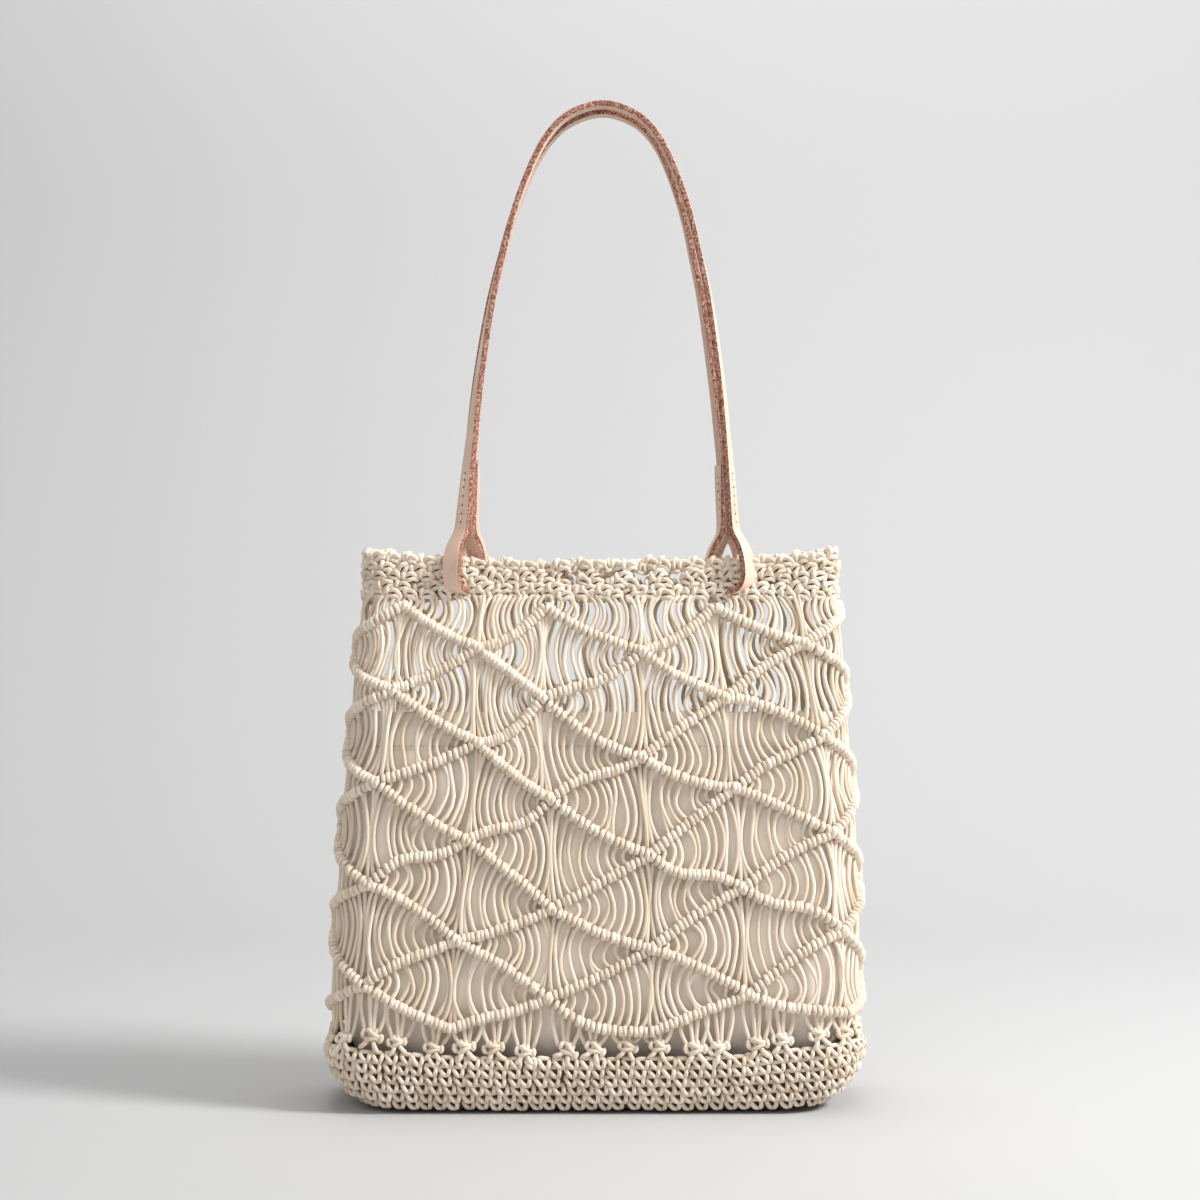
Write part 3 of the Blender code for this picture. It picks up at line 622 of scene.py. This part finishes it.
lines, outs = [], []
for k in range(JOIN_KNOTS):
    for j, gap in enumerate((-1.5, -0.5, 0.5, 1.5)):
        spread = gap * COLUMNS / JOIN_KNOTS / 4
        u_top = knot_u[k] + spread
        z_top = lowest_ridge(u_top % COLUMNS)
        z_end = knot_z[k] + 0.0060
        if z_top - z_end < 0.003:
            continue
        s = np.linspace(0, 1, 8)
        pull = ease(s)
        u = u_top + (knot_u[k] + spread * (0.62 if abs(gap) > 1 else 0.40) - u_top) * pull
        u = u + 0.035 * np.sign(gap) * (abs(gap) > 1) * np.sin(math.pi * s)
        z = z_top + (z_end - z_top) * s
        out = -0.0012 - 0.0008 * s
        lines.append(skin(u, z, out))
        outs.append(facing(u, z))
make("strands_to_knots", tubes(lines, np.array(outs), CORD / 2 * 0.97, 6, taper=False), cotton,
     seed=5)

# %% [markdown]
# ## Crocheted base
# The base is worked in rounds of single crochet. Each stitch shows as a fat bar that leans to the
# left, a shorter one beside it and a strand across, with a hole between stitches. A lining shell a
# little inside closes the tub, as the backs of the stitches do. It is painted dark brown, so the
# holes show painted shade.


# %% The base's surface
def base_skin(u, share, out=0.0):
    """A place on the base: share 0 is the edge of its flat bottom and 1 its top edge."""
    u, share, out = np.broadcast_arrays(np.asarray(u, float), share, out)
    drawn_in = np.interp(share, ROUNDING[:, 0], ROUNDING[:, 1])
    half_w, half_d, centre = body(0.0)
    flat = plan(half_w - drawn_in * BASE_CORNER, half_d - drawn_in * BASE_TURN, centre, u, out)
    return np.concatenate([flat, (share * base_edge(u))[..., None]], -1)


def base_places(u, share, out, turn, size):
    right = unit(base_skin(u + 0.02, share) - base_skin(u - 0.02, share))
    up = unit(base_skin(u, np.minimum(share + 0.04, 1.0)) - base_skin(u, np.maximum(share - 0.04, 0)))
    normal = unit(np.cross(right, up))
    origin = base_skin(u, share) + out[:, None] * normal
    return turned(origin, right, np.cross(normal, right), normal, turn, size)


def stitch_count(a, b):
    """How many stitches go round the bag where it is a and b in half width and half depth."""
    return round((4 * (a + b) - (8 - 2 * math.pi) * CORNER_SHARE * b) / STITCH)


crochet = drawn((
    ((-4.0, 3.2, -1.6), (-2.7, 1.6, 0.9), (-0.5, -1.0, 1.7), (2.4, -3.4, -0.9)),
    ((3.0, 3.8, -1.4), (3.2, 1.4, 1.2), (2.8, -1.0, 1.2), (2.3, -3.3, -1.0)),
    ((-4.6, 3.4, -1.9), (-0.6, 3.9, -0.9), (3.6, 3.6, -1.8)),
), radius_mm=1.52, sides=6, steps=6)
STITCH = 0.0090
ROUNDS = (0.130, 0.270, 0.420, 0.580, 0.740, 0.90)  # shares of the way up
FLOOR_ROUNDS = (0.0060, 0.0130, 0.0200, 0.0270, 0.0340)  # in from the flat bottom's edge
FLOOR_HEIGHT = 0.0032
half_w, half_d, centre = body(0.0)
places = []
for k, share in enumerate(ROUNDS):
    inset = np.interp(share, ROUNDING[:, 0], ROUNDING[:, 1])
    n = stitch_count(half_w - inset * BASE_CORNER, half_d - inset * BASE_TURN)
    u = (np.arange(n) + 0.37 * k) / n * COLUMNS + dice.normal(0, 0.010, n)
    size = 1.0 + dice.normal(0, 0.03, n)
    places.append(base_places(u, np.full(n, share), np.full(n, -0.0010) + dice.normal(0, 0.0002, n),
                              dice.normal(0, 0.07, n), size))
stitches = make("crochet_wall", copies(crochet, gathered(places)), cotton, seed=6)
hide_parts("base")

# %% Rounds of stitches under the base
# These rounds are painted dark brown: painted shade under the base's edge.
places = []
for k, inset in enumerate(FLOOR_ROUNDS):
    a, b = half_w - BASE_CORNER - inset, half_d - BASE_TURN - inset
    n = stitch_count(a, b)
    u = (np.arange(n) + 0.41 * k) / n * COLUMNS
    flat = plan(a, b, centre, u)
    ahead = plan(a, b, centre, u + 0.02) - plan(a, b, centre, u - 0.02)
    right = unit(np.concatenate([ahead, np.zeros((n, 1))], 1))
    down = np.tile((0.0, 0.0, -1.0), (n, 1))
    origin = np.concatenate([flat, np.full((n, 1), FLOOR_HEIGHT)], 1)
    places.append((origin, right, np.cross(down, right), down * 0.9))
make("crochet_floor", copies(crochet, gathered(places)), cotton_painted_shade, seed=7)


# %% The tub behind the stitches
def with_all(step, **settings):
    """An edit operator on the whole of the active mesh."""
    bpy.ops.object.mode_set(mode="EDIT")
    bpy.ops.mesh.select_all(action="SELECT")
    step(**settings)
    bpy.ops.object.mode_set(mode="OBJECT")


def grid_on(name, rows, closed):
    """A grid primitive whose rows are laid on rows of points. A closed one is joined up."""
    rows = np.asarray(rows, float)
    m, n, _ = rows.shape
    spans = (n if closed else n - 1, m - 1)
    bpy.ops.mesh.primitive_grid_add(x_subdivisions=spans[0], y_subdivisions=spans[1], size=1.0)
    obj = bpy.context.object
    obj.name = obj.data.name = name
    mesh = obj.data
    i, j = np.rint((values(mesh.vertices, "co", 3)[:, :2] + 0.5) * spans).astype(int).T
    mesh.vertices.foreach_set("co", rows[j, i % n].ravel())
    steps = np.linalg.norm(np.diff(rows, axis=1, append=rows[:, :1]), axis=2).mean(0)
    run = np.concatenate([[0], np.cumsum(steps)]) * 1000  # the UV map is in millimetres
    rise = np.cumsum(np.linalg.norm(np.diff(rows, axis=0, prepend=rows[:1]), axis=2).mean(1)) * 1000
    corner = values(mesh.loops, "vertex_index", kind=int)
    uv = np.stack([run[i[corner]], rise[j[corner]]], -1)
    mesh.uv_layers[0].data.foreach_set("uv", uv.astype(np.float32).ravel())
    with_all(bpy.ops.mesh.remove_doubles, threshold=1e-6)
    return obj


def give_wall(obj, thickness, offset=-1.0, **settings):
    """Solidify, applied."""
    wall = obj.modifiers.new("wall", "SOLIDIFY")
    wall.thickness, wall.offset = thickness, offset
    for key, value in settings.items():
        setattr(wall, key, value)
    bpy.context.view_layer.objects.active = obj
    bpy.ops.object.modifier_apply(modifier=wall.name)


def vessel(name, rings, thickness, material):
    """An open vessel: rings from the bottom up, a floor across the lowest, and a wall inward."""
    obj = grid_on(name, rings, closed=True)
    floor = min(v.co.z for v in obj.data.vertices)
    with_all(bpy.ops.mesh.select_all, action="DESELECT")
    for v in obj.data.vertices:
        v.select = v.co.z < floor + 1e-6
    bpy.ops.object.mode_set(mode="EDIT")
    bpy.ops.mesh.edge_face_add()
    bpy.ops.object.mode_set(mode="OBJECT")
    with_all(bpy.ops.mesh.normals_make_consistent, inside=False)
    give_wall(obj, thickness)
    return dressed(obj, material)


def dressed(obj, *materials):
    for material in materials:
        obj.data.materials.append(material)
    obj.data.shade_smooth()
    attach(obj, "root")
    print(f"{obj.name}: {sum(len(f.vertices) - 2 for f in obj.data.polygons)} triangles")
    return obj


around = np.arange(120) / 120 * COLUMNS
# The lining is painted dark brown: painted shade seen through the holes between stitches.
vessel("crochet_lining", [base_skin(around, s, -0.0018) + (0, 0, 0.0022 * (1 - s))
                          for s in ROUNDING[:, 0]], 0.0042, cotton_painted_shade)

# %% [markdown]
# ## Rim band
# The rim is five close rows of small knots, inside and outside alike. Each knot shows a bar
# across and the two ends that come round it. Odd rows are set half a knot along, so the knots
# interlock like bricks. Four are left out in the front and in the back for eyelets, the knots
# beside them are pushed away, and a row of upright loops closes them at the top.

# %% Rim knots
rim_knot = drawn((
    ((-4.9, -0.8, -1.4), (-2.6, 1.8, 1.3), (1.0, 2.0, 2.3), (4.9, -0.6, -1.2)),
    ((-4.4, -2.6, -1.4), (-1.8, -2.3, 1.2), (1.6, -0.8, 1.5), (4.8, -2.4, -1.4)),
    ((-4.2, 3.6, -1.4), (-5.7, 0.9, 2.2), (-4.4, -2.8, -1.0)),
), radius_mm=1.62, sides=6, steps=6)
RIM_KNOTS, RIM_ROWS = 64, 5
EYELETS = (14, 16, 18, 20)  # knots left out, counted from the left side
ROW_ABOVE, ROW_BELOW = 0.0022, 0.0020  # first row above the band's bottom, last below its top
EYELET_PUSH, EYELET_REACH = 0.0052, 0.0075
KNOT_COLUMN = 0.052  # a column's width at the rim
# The back's eyelets lie behind the front's as the camera sees them: wider apart, a bit lower.
BACK_LOWER, BACK_WIDER = 0.0013, 1.037


def rim_row(u, k):
    """Height of row k of the rim's knots."""
    low = RIM_BOTTOM + ROW_ABOVE
    return low + (rim_top(u) - ROW_BELOW - low) * k / (RIM_ROWS - 1)


def make_way(u, z):
    """Knots beside an eyelet are pushed away from it."""
    for knot in EYELETS:
        in_front = (knot + 0.5) / RIM_KNOTS * COLUMNS
        in_back = COLUMNS * 0.75 - (in_front - COLUMNS / 4) * BACK_WIDER
        for eyelet, lower in ((in_front, 0.0), (in_back, BACK_LOWER)):
            du, dz = (u - eyelet) * KNOT_COLUMN, z - rim_row(eyelet, RIM_ROWS - 2) + lower
            away = np.hypot(du, dz)
            push = EYELET_PUSH * np.exp(-(away / EYELET_REACH) ** 2) / away
            u, z = u + du * push / KNOT_COLUMN, z + dz * push
    return u, z


places, n = [], RIM_KNOTS
for inside in (False, True):
    for k in range(RIM_ROWS):
        u = (np.arange(n) + 0.5 * (k % 2)) / n * COLUMNS + dice.normal(0, 0.012, n)
        z = rim_row(u, k) + dice.normal(0, 0.0006, n)
        turn = dice.normal(0, 0.30, n) + (0.24 if k % 2 else -0.24)
        out = dice.normal(0, 0.0004, n) + (-0.0020 if not inside else -RIM_WALL + 0.0020)
        keep = np.ones(n, bool)
        if k == RIM_ROWS - 2:  # eyelets near the front's middle, and behind them in the back
            from_left = np.minimum(np.arange(n), n - 1 - np.arange(n))
            keep = ~np.isin(from_left, EYELETS)
        u, z, turn, out = u[keep], z[keep], turn[keep], out[keep]
        u, z = make_way(u, z)
        got = on_skin(u, z, out, turn, 1.0 + dice.normal(0, 0.05, len(u)))
        if inside:
            got = (got[0], -got[1], got[2], -got[3])
        places.append(got)
for inside in (False, True):  # the upright loops at the edge
    u = (np.arange(n) + 0.5) / n * COLUMNS + dice.normal(0, 0.02, n)
    z = rim_top(u) - 0.0014 + dice.normal(0, 0.0009, n)
    out = -0.0022 if not inside else -RIM_WALL + 0.0022
    places.append(on_skin(u, z, out, math.pi / 2 + dice.normal(0, 0.5, n), 0.76))
rim = make("rim_knots", copies(rim_knot, gathered(places)), cotton, seed=9)
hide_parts("rim_band")

# %% The cords inside the rim's knots
# These cores are painted dark brown: painted shade between the rim's knots.
u = (np.arange(RIM_KNOTS * 2) + 0.5) / (RIM_KNOTS * 2) * COLUMNS
from_left = np.minimum(u, COLUMNS - u) / COLUMNS * RIM_KNOTS - 0.5
u = u[np.abs(from_left[:, None] - np.array(EYELETS)).min(1) > 0.4]
s = np.linspace(0, 1, 4)[None]
z = RIM_BOTTOM + 0.0012 + s * (rim_top(u)[:, None] - RIM_BOTTOM - 0.0044)
u = np.repeat(u[:, None], 4, 1)
make("rim_cores", tubes(skin(u, z, -RIM_WALL / 2), facing(u, z), 0.0019, 5, wide=1.35),
     cotton_painted_shade, seed=12)

# %% [markdown]
# ## Canvas pouch
# The pouch is sewn from one layer of cotton canvas. Its wall ripples a little where it hangs
# between its seams, and its mouth is turned down into a hem with a line of stitches.

# %% Canvas
canvas, shader = new_material("unbleached_cotton_canvas", 0.95, 0.1)
place = node(canvas, "ShaderNodeTexCoord")
base = ramp(canvas, noise(canvas, place, 25.0, 4.0), ((0.3, "#FBF0E2"), (0.7, "#FFF8EE")))
split = node(canvas, "ShaderNodeSeparateXYZ", [(place.outputs["UV"], "Vector")])
THREADS = 2 * math.pi / 1.3  # 1.3 mm apart, coarser than the real 0.6 mm so that the weave shows
waves = [maths(canvas, "SINE", maths(canvas, "MULTIPLY", split.outputs[axis], THREADS))
         for axis in ("X", "Y")]
level = maths(canvas, "MULTIPLY_ADD", maths(canvas, "MULTIPLY", *waves), 0.5, 0.5)
shade = node(canvas, "ShaderNodeMix", [(level, 0), (base, 6)], data_type="RGBA",
             blend_type="MULTIPLY")
shade.inputs[7].default_value = colour("#F8F5F0")
finish_shader(canvas, shader, shade.outputs[2], level, 0.5, 0.0003)

# %% The pouch's wall
POUCH_TOP, POUCH_WALL, POUCH_GAP = 0.2600, 0.0012, 0.0015
POUCH_CORNER, POUCH_TURN, POUCH_ROUND = 0.048, 0.038, 0.080
POUCH_BACK_LOWER = 0.0035  # the back of the pouch's edge hangs this much lower
BASE_WALL, NET_WALL = 0.006, 0.003
around = np.arange(220) / 220 * COLUMNS
low = BASE_FLOOR + GAP


def pouch_ring(z, inset):
    half_w, half_d, centre = body(z)
    drawn_in = np.interp((z - low) / POUCH_ROUND, ROUNDING[:, 0], ROUNDING[:, 1])
    wall = BASE_WALL + (NET_WALL - BASE_WALL) * ease((z - BASE_HEIGHT - 0.006) / 0.022)
    half_w = half_w - wall - POUCH_GAP - drawn_in * POUCH_CORNER
    half_d = half_d - wall - POUCH_GAP - drawn_in * POUCH_TURN
    lap = around * 2 * math.pi / COLUMNS
    ripple = 0.0011 * np.sin(5 * lap + 9 * z) + 0.0009 * np.sin(12 * lap - 31 * z + 1)
    ripple *= np.clip((z - low) / 0.05, 0, 1)
    flat = plan(half_w, half_d, centre, around, -inset + ripple)
    lower = POUCH_BACK_LOWER * np.clip(-2 * np.sin(lap), 0, 1) * (z - low) / (POUCH_TOP - low)
    return np.concatenate([flat, (z - lower)[:, None]], 1)


heights = np.concatenate([low + ROUNDING[:, 0] * POUCH_ROUND,
                          np.linspace(low + POUCH_ROUND + 0.012, POUCH_TOP - 0.0255, 14)])
rings = [pouch_ring(z, 0.0) for z in heights]
for down, inset in ((0.0250, -0.0001), (0.0246, -0.0008), (0.0120, -0.0008), (0.0006, -0.0008),
                    (0.0, -0.0002)):  # the hem, a second layer outside
    rings.append(pouch_ring(POUCH_TOP - down, inset))
pouch = vessel("canvas_pouch", rings, POUCH_WALL, canvas)
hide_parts("pouch")

# %% The hem's line of stitches
HEM, HEM_STITCHES = 0.0225, 200
hem_thread = plain_material("cotton_sewing_thread", "#CFC0A8", 0.8)
share = (np.arange(HEM_STITCHES)[:, None] + np.array((0.12, 0.36, 0.64, 0.88))) / HEM_STITCHES
around = share.ravel() * COLUMNS
line = pouch_ring(POUCH_TOP - HEM, -0.0010).reshape(HEM_STITCHES, 4, 3)
outs = facing(around, POUCH_TOP - HEM).reshape(HEM_STITCHES, 4, 3)
line[:, (0, 3)] -= 0.0005 * outs[:, (0, 3)]
make("pouch_hem_stitches", tubes(line, outs, 0.00038, 4), hem_thread)

# %% [markdown]
# ## Leather handles
# Each handle is one strap, 12.7 mm wide and 4 mm thick, cut from a side of vegetable-tanned
# leather. Both ends are turned round the rim and sewn back to the strap with a tail of about
# 45 mm, pared down towards its tip. A grid is laid along the strap's route, turning from flat in
# the hand at the top to askew at the loops, and modifiers give it thickness and round edges.

# %% Leather
grain, shader = new_material("vegetable_tanned_grain", 0.42)
place = node(grain, "ShaderNodeTexCoord")
base = ramp(grain, noise(grain, place, 30.0, 5.0),
            ((0.3, "#DFBDA5"), (0.5, "#E8C9B3"), (0.7, "#EFD5C2")))
finish_shader(grain, shader, base, noise(grain, place, 900.0, 3.0), 0.12, 0.0002)


def fibrous(name, dark, middle, light):
    """A cut edge or the flesh side: short fibres, pale specks on a pinkish brown."""
    material, shader = new_material(name, 0.85, 0.05)
    specks = noise(material, node(material, "ShaderNodeTexCoord"), 700.0, 6.0, 0.7)
    base = ramp(material, specks, ((0.38, dark), (0.5, middle), (0.64, light)))
    finish_shader(material, shader, base, specks, 0.6, 0.0004)
    return material


cut_edge = fibrous("leather_cut_edge", "#5C3428", "#9A6754", "#D8B4A4")
flesh = fibrous("leather_flesh_side", "#C39C87", "#DABBA8", "#ECD4C3")
thread_white = plain_material("waxed_linen_thread", "#F2EDE4", 0.6)

# %% The strap's route
STRAP_WIDTH, STRAP_THICK, STRAP_GAP = 0.0127, 0.004, 0.0004
HANDLE_TOP, HANDLE_SPAN, HANDLE_GAP = 0.6646, 0.1788, 0.0015
HANDLE_LEAN, HANDLE_SHIFT, EYE_RISE, TAIL_LENGTH = 0.0032, 0.0020, 0.0132, 0.047
BACK_DROP, BACK_BOW = 0.0028, 0.0030  # the back arch lies lower, its legs further left
SKEW = 8.0  # the left legs are turned 8 degrees further than the table says, the right less
LOOP_LIFT, LOOP_CORNER, LOOP_TWIST = 0.0025, 0.0105, 45.0
LOOP_SKEW = 9.0  # the same for the loops: the right ones press further into the knots
LEG = (  # share of the climb, share of the half span, turn in degrees
    (0.000, 1.000, 33.0), (0.113, 0.970, 27.0), (0.213, 0.940, 20.0), (0.362, 0.889, 14.0),
    (0.538, 0.805, 8.0), (0.656, 0.722, 4.0), (0.773, 0.626, 2.0), (0.891, 0.475, 0.0),
    (0.956, 0.330, 0.0), (0.988, 0.170, 0.0), (1.000, 0.000, 0.0),
)
half_t = STRAP_THICK / 2
eye = RIM_TOP + EYE_RISE
climb = {-1: HANDLE_TOP - half_t - eye, 1: HANDLE_TOP - half_t - eye - BACK_DROP}
bow_of = {-1: 0.0, 1: BACK_BOW}
band_y = RIM_DEPTH / 2 - RIM_WALL / 2
top_y = STRAP_WIDTH / 2 + HANDLE_GAP / 2
under = RIM_BOTTOM + LOOP_LIFT + half_t
tau = math.radians(LOOP_TWIST)
open_half = half_t + (RIM_WALL / 2 + STRAP_GAP + STRAP_WIDTH / 2 * math.cos(tau)) / math.sin(tau)
shut_half = (STRAP_THICK + STRAP_GAP) / 2
tau_of = {side: math.radians(LOOP_TWIST - side * LOOP_SKEW) for side in (-1, 1)}
leg_table = LEG + tuple((s, -w, -t) for s, w, t in LEG[-2::-1][:2])


def leg(q, side=1, front=-1):
    """Distance out from the middle, y, z, share of the climb and turn, at table row q."""
    i = min(int(q), len(leg_table) - 2)
    t = q - i
    last = len(leg_table) - 1
    a, b, c, d = (np.array(leg_table[min(max(k, 0), last)]) for k in range(i - 1, i + 3))
    curve = 2 * a - 5 * b + 4 * c - d + t * (3 * (b - c) + d - a)
    share, out, turn = b + 0.5 * t * (c - a + t * curve)
    y = top_y + (band_y - top_y) * (1 - share)
    turn -= side * SKEW * max(0.0, 1 - share * 2)
    return out * HANDLE_SPAN / 2, y, eye + share * climb[front], share, math.radians(turn)


def doubled(q, layer, side, front):
    """A station where the strap lies double: layer 0 is the outer one and 1 the tail."""
    out, y, z, share, turn = leg(q, side, front)
    shift = layer * 2 * shut_half
    x = HANDLE_SHIFT + HANDLE_LEAN * share - bow_of[front] * 4 * share * (1 - share)
    x += side * (out - shift * math.cos(turn))
    return x, front * (y - shift * math.sin(turn)), z, turn, side


def eye_station(f, layer, side, front):
    """A station of the open loop: f is 0 where it closes and 1 beside the rim."""
    out, y, _, _, turn = leg(0.0, side)
    out, y = out - shut_half * math.cos(turn), y - shut_half * math.sin(turn)
    mix = min(1.0, 1.4 * f)
    twist = turn + (tau_of[side] - turn) * mix
    y += (band_y - y) * mix
    apart = (shut_half + (open_half - shut_half) * f * (2 - f)) * (1 if layer else -1)
    z = eye + (RIM_TOP - 0.012 - eye) * f
    return (HANDLE_SHIFT + side * (out - apart * math.cos(twist)),
            front * (y - apart * math.sin(twist)), z, twist, side)


def loop_station(along, z, side, front):
    out, _, _, _, turn = leg(0.0, side)
    out -= shut_half * math.cos(turn)
    return (HANDLE_SHIFT + side * (out - along * math.cos(tau_of[side])),
            front * (band_y - along * math.sin(tau_of[side])), z, tau_of[side], side)


q_tail = 0.0
while leg(q_tail)[2] < eye + TAIL_LENGTH:
    q_tail += 0.01
print(f"open loop {2 * open_half * 1000:.1f} mm across, tail to row {q_tail:.2f}")


# %% Stations along one strap
def strap_end(side, front):
    r, flat = LOOP_CORNER, open_half - LOOP_CORNER
    got = [doubled(q_tail * (1 - k / 8), 1, side, front) for k in range(8)]
    got += [eye_station(k / 8, 1, side, front) for k in range(9)]
    for way, angles in ((1, range(9)), (-1, range(8, -1, -1))):
        for k in angles:
            a = k * math.pi / 16
            got.append(loop_station(way * (flat + r * math.cos(a)), under + r - r * math.sin(a),
                                    side, front))
    return got + [eye_station(1 - k / 8, 0, side, front) for k in range(9)]


def strap_stations(front):
    rows = len(LEG) - 1
    left, right = (strap_end(side, front) + [doubled(k / 8, 0, side, front)
                                             for k in range(1, 8 * rows)] for side in (-1, 1))
    return left + [doubled(rows, 0, -1, front)] + right[::-1]


def strap_frames(stations, front):
    """Positions, width directions and thickness directions, each (stations, 3)."""
    p = np.array([s[:3] for s in stations])
    for _ in range(2):  # eases the small corners between one formula and the next
        p[1:-1] = 0.5 * p[1:-1] + 0.25 * (p[:-2] + p[2:])
    t = unit(np.gradient(p, axis=0))
    w = np.array([(-s[4] * math.sin(s[3]), front * math.cos(s[3]), 0.0) for s in stations])
    w = unit(w - (w * t).sum(1, keepdims=True) * t)
    return p, w, np.cross(t, w)


# %% From a grid to a strap
TAIL_STATIONS, TAIL_TIP, EDGE_ROUND = 8, 0.3, 0.0007


def leather_strap(name, front):
    """A grid two faces wide is laid along the route. Solidify gives it the leather's thickness,
    with the cut edge round it and the flesh side inside, and Bevel rounds its edges."""
    p, w, n = strap_frames(strap_stations(front), front)
    thin = np.ones(len(p))  # the tails are pared down on their grain side towards their tips
    thin[:TAIL_STATIONS] = np.linspace(TAIL_TIP, 1.0, TAIL_STATIONS)
    thin[-TAIL_STATIONS:] = thin[:TAIL_STATIONS][::-1]
    up = front * n
    p = p - ((1 - thin) * half_t)[:, None] * up
    rows = [p + w * side * STRAP_WIDTH / 2 for side in (-1, 0, 1)]
    strap = grid_on(name, rows, closed=False)
    middle = strap.data.polygons[len(strap.data.polygons) // 4]
    nearest = np.linalg.norm(p - np.array(middle.center), axis=1).argmin()
    if np.array(middle.normal) @ up[nearest] < 0:
        with_all(bpy.ops.mesh.flip_normals)
    pared = strap.vertex_groups.new(name="pared")
    for v in strap.data.vertices:
        pared.add([v.index], thin[np.linalg.norm(p - np.array(v.co), axis=1).argmin()], "REPLACE")
    for material in (grain, cut_edge, flesh):
        strap.data.materials.append(material)
    give_wall(strap, STRAP_THICK, 0.0, vertex_group="pared", material_offset=2,
              material_offset_rim=1)
    edges = strap.modifiers.new("edges", "BEVEL")
    edges.width, edges.segments, edges.limit_method = EDGE_ROUND, 2, "ANGLE"
    edges.angle_limit = math.radians(50)
    bpy.ops.object.modifier_apply(modifier=edges.name)
    return dressed(strap)


for name, front in (("front", -1), ("back", 1)):
    strap = leather_strap(f"strap_{name}", front)
    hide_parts(f"handle_{name}")

# %% [markdown]
# ## Stitching on the handles
# Eight stitches of white waxed thread hold each tail to the strap. They sink into the leather, and
# each ends in a hole, drawn as a small near-black ball: painted shade.

# %% Stitches
# The holes are near-black balls of painted shade.
hole = plain_material("stitch_hole", "#2A1712", 0.9)
STITCH_HOLES, THREAD, HOLE = 8, 0.00045, 0.00085  # how many in a row, and two radii
threads, thread_outs, holes = [], [], []
for front in (-1, 1):
    for side in (-1, 1):
        for layer, away in ((0, 1), (1, -1)):
            points = []
            for k in range(STITCH_HOLES):
                q = q_tail * (0.07 + 0.72 * k / (STITCH_HOLES - 1))
                x, y, z, turn, _ = doubled(q, layer, side, front)
                x2, y2, z2, _, _ = doubled(q + 0.03, layer, side, front)
                along = unit(np.array((x2 - x, y2 - y, z2 - z)))
                out = np.array((side * math.cos(turn), front * math.sin(turn), 0.0)) * away
                out = unit(out - (out @ along) * along)
                pared = TAIL_TIP + (1 - TAIL_TIP) * (1 - q / q_tail) if layer else 1.0
                p = np.array((x, y, z)) + out * (2 * pared - 1) * half_t
                points.append(p)
                holes.append((p - out * THREAD, along, np.cross(out, along), out))
            for p, p2 in zip(points, points[1:]):
                s = np.linspace(-1, 1, 7)[:, None]
                middle, half = (p + p2) / 2, (p2 - p) / 2
                reach = 1 - 0.0007 / np.linalg.norm(half)
                threads.append(middle + half * s * reach + out * (THREAD - 0.0004 * s ** 4))
                thread_outs.append(np.tile(out, (7, 1)))
make("handle_stitches", tubes(threads, np.array(thread_outs), THREAD, 6), thread_white)
bpy.ops.mesh.primitive_uv_sphere_add(segments=10, ring_count=6, radius=HOLE)
one_hole = primitive()
make("stitch_holes", copies(one_hole, [np.array(v) for v in zip(*holes)]), hole)

# %% [markdown]
# ## The net's solid
# The strands and hitches stand for the plain solid of the net, which stays for collision,
# hidden.

# %% Replace the net
for name in ("hitches_front", "hitches_back", "strands_front", "strands_back"):
    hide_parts("net")

# %% [markdown]
# ## Floor, backdrop and light
# The bag stands on a pale sweep. The main light comes from the upper right, a little in front.
# Three weaker ones, from above, on the backdrop and from the front left, open the shadows.

# %% Sweep
SWEEP_FRONT, SWEEP_FLAT, SWEEP_RADIUS, SWEEP_LENGTH, SWEEP_WIDTH = -2.6, 3.4, 0.9, 6.0, 8.0
sweep_paper = plain_material("pale_paper_sweep", "#BFBFBF", 0.9)
bpy.ops.mesh.primitive_grid_add(x_subdivisions=2, y_subdivisions=60, size=1.0)
backdrop = bpy.context.object
backdrop.name = "sweep"
for v in backdrop.data.vertices:
    run = (v.co.y + 0.5) * SWEEP_LENGTH
    arc = min(max(run - SWEEP_FLAT, 0.0), SWEEP_RADIUS * math.pi / 2)
    y = SWEEP_FRONT + min(run, SWEEP_FLAT) + SWEEP_RADIUS * math.sin(arc / SWEEP_RADIUS)
    wall = max(run - SWEEP_FLAT - SWEEP_RADIUS * math.pi / 2, 0.0)
    v.co = (v.co.x * SWEEP_WIDTH, y, SWEEP_RADIUS * (1 - math.cos(arc / SWEEP_RADIUS)) + wall)
backdrop.data.shade_smooth()
backdrop.data.materials.append(sweep_paper)


# %% Lights
def area_light(name, place, aim, size, watts):
    bpy.ops.object.light_add(type="AREA", location=place)
    light = bpy.context.object
    light.name = name
    light.data.shape = "DISK"
    light.data.size = size
    light.data.energy = watts
    light.visible_camera = False
    way = np.array(aim) - np.array(place)
    tilt = math.atan2(math.hypot(way[0], way[1]), -way[2])
    light.rotation_euler = (tilt, 0.0, math.atan2(way[1], way[0]) - math.pi / 2)


area_light("main", (1.85, -0.70, 1.65), (0, 0, 0.25), 0.7, 70)
area_light("top", (0.1, -0.35, 2.4), (0, 0, 0.2), 1.8, 6)
area_light("backdrop", (-0.1, 0.3, 2.4), (-0.1, 2.2, 0.5), 1.2, 22.5)
area_light("fill", (-0.6, -2.2, 1.6), (0, 0, 0.3), 1.8, 10)
world = bpy.data.worlds.new("studio")
scene.world = world
world.use_nodes = True
sky = world.node_tree.nodes["Background"]
sky.inputs["Color"].default_value = colour("#F4F4F4")
sky.inputs["Strength"].default_value = 0.42
scene.view_settings.view_transform = "Standard"
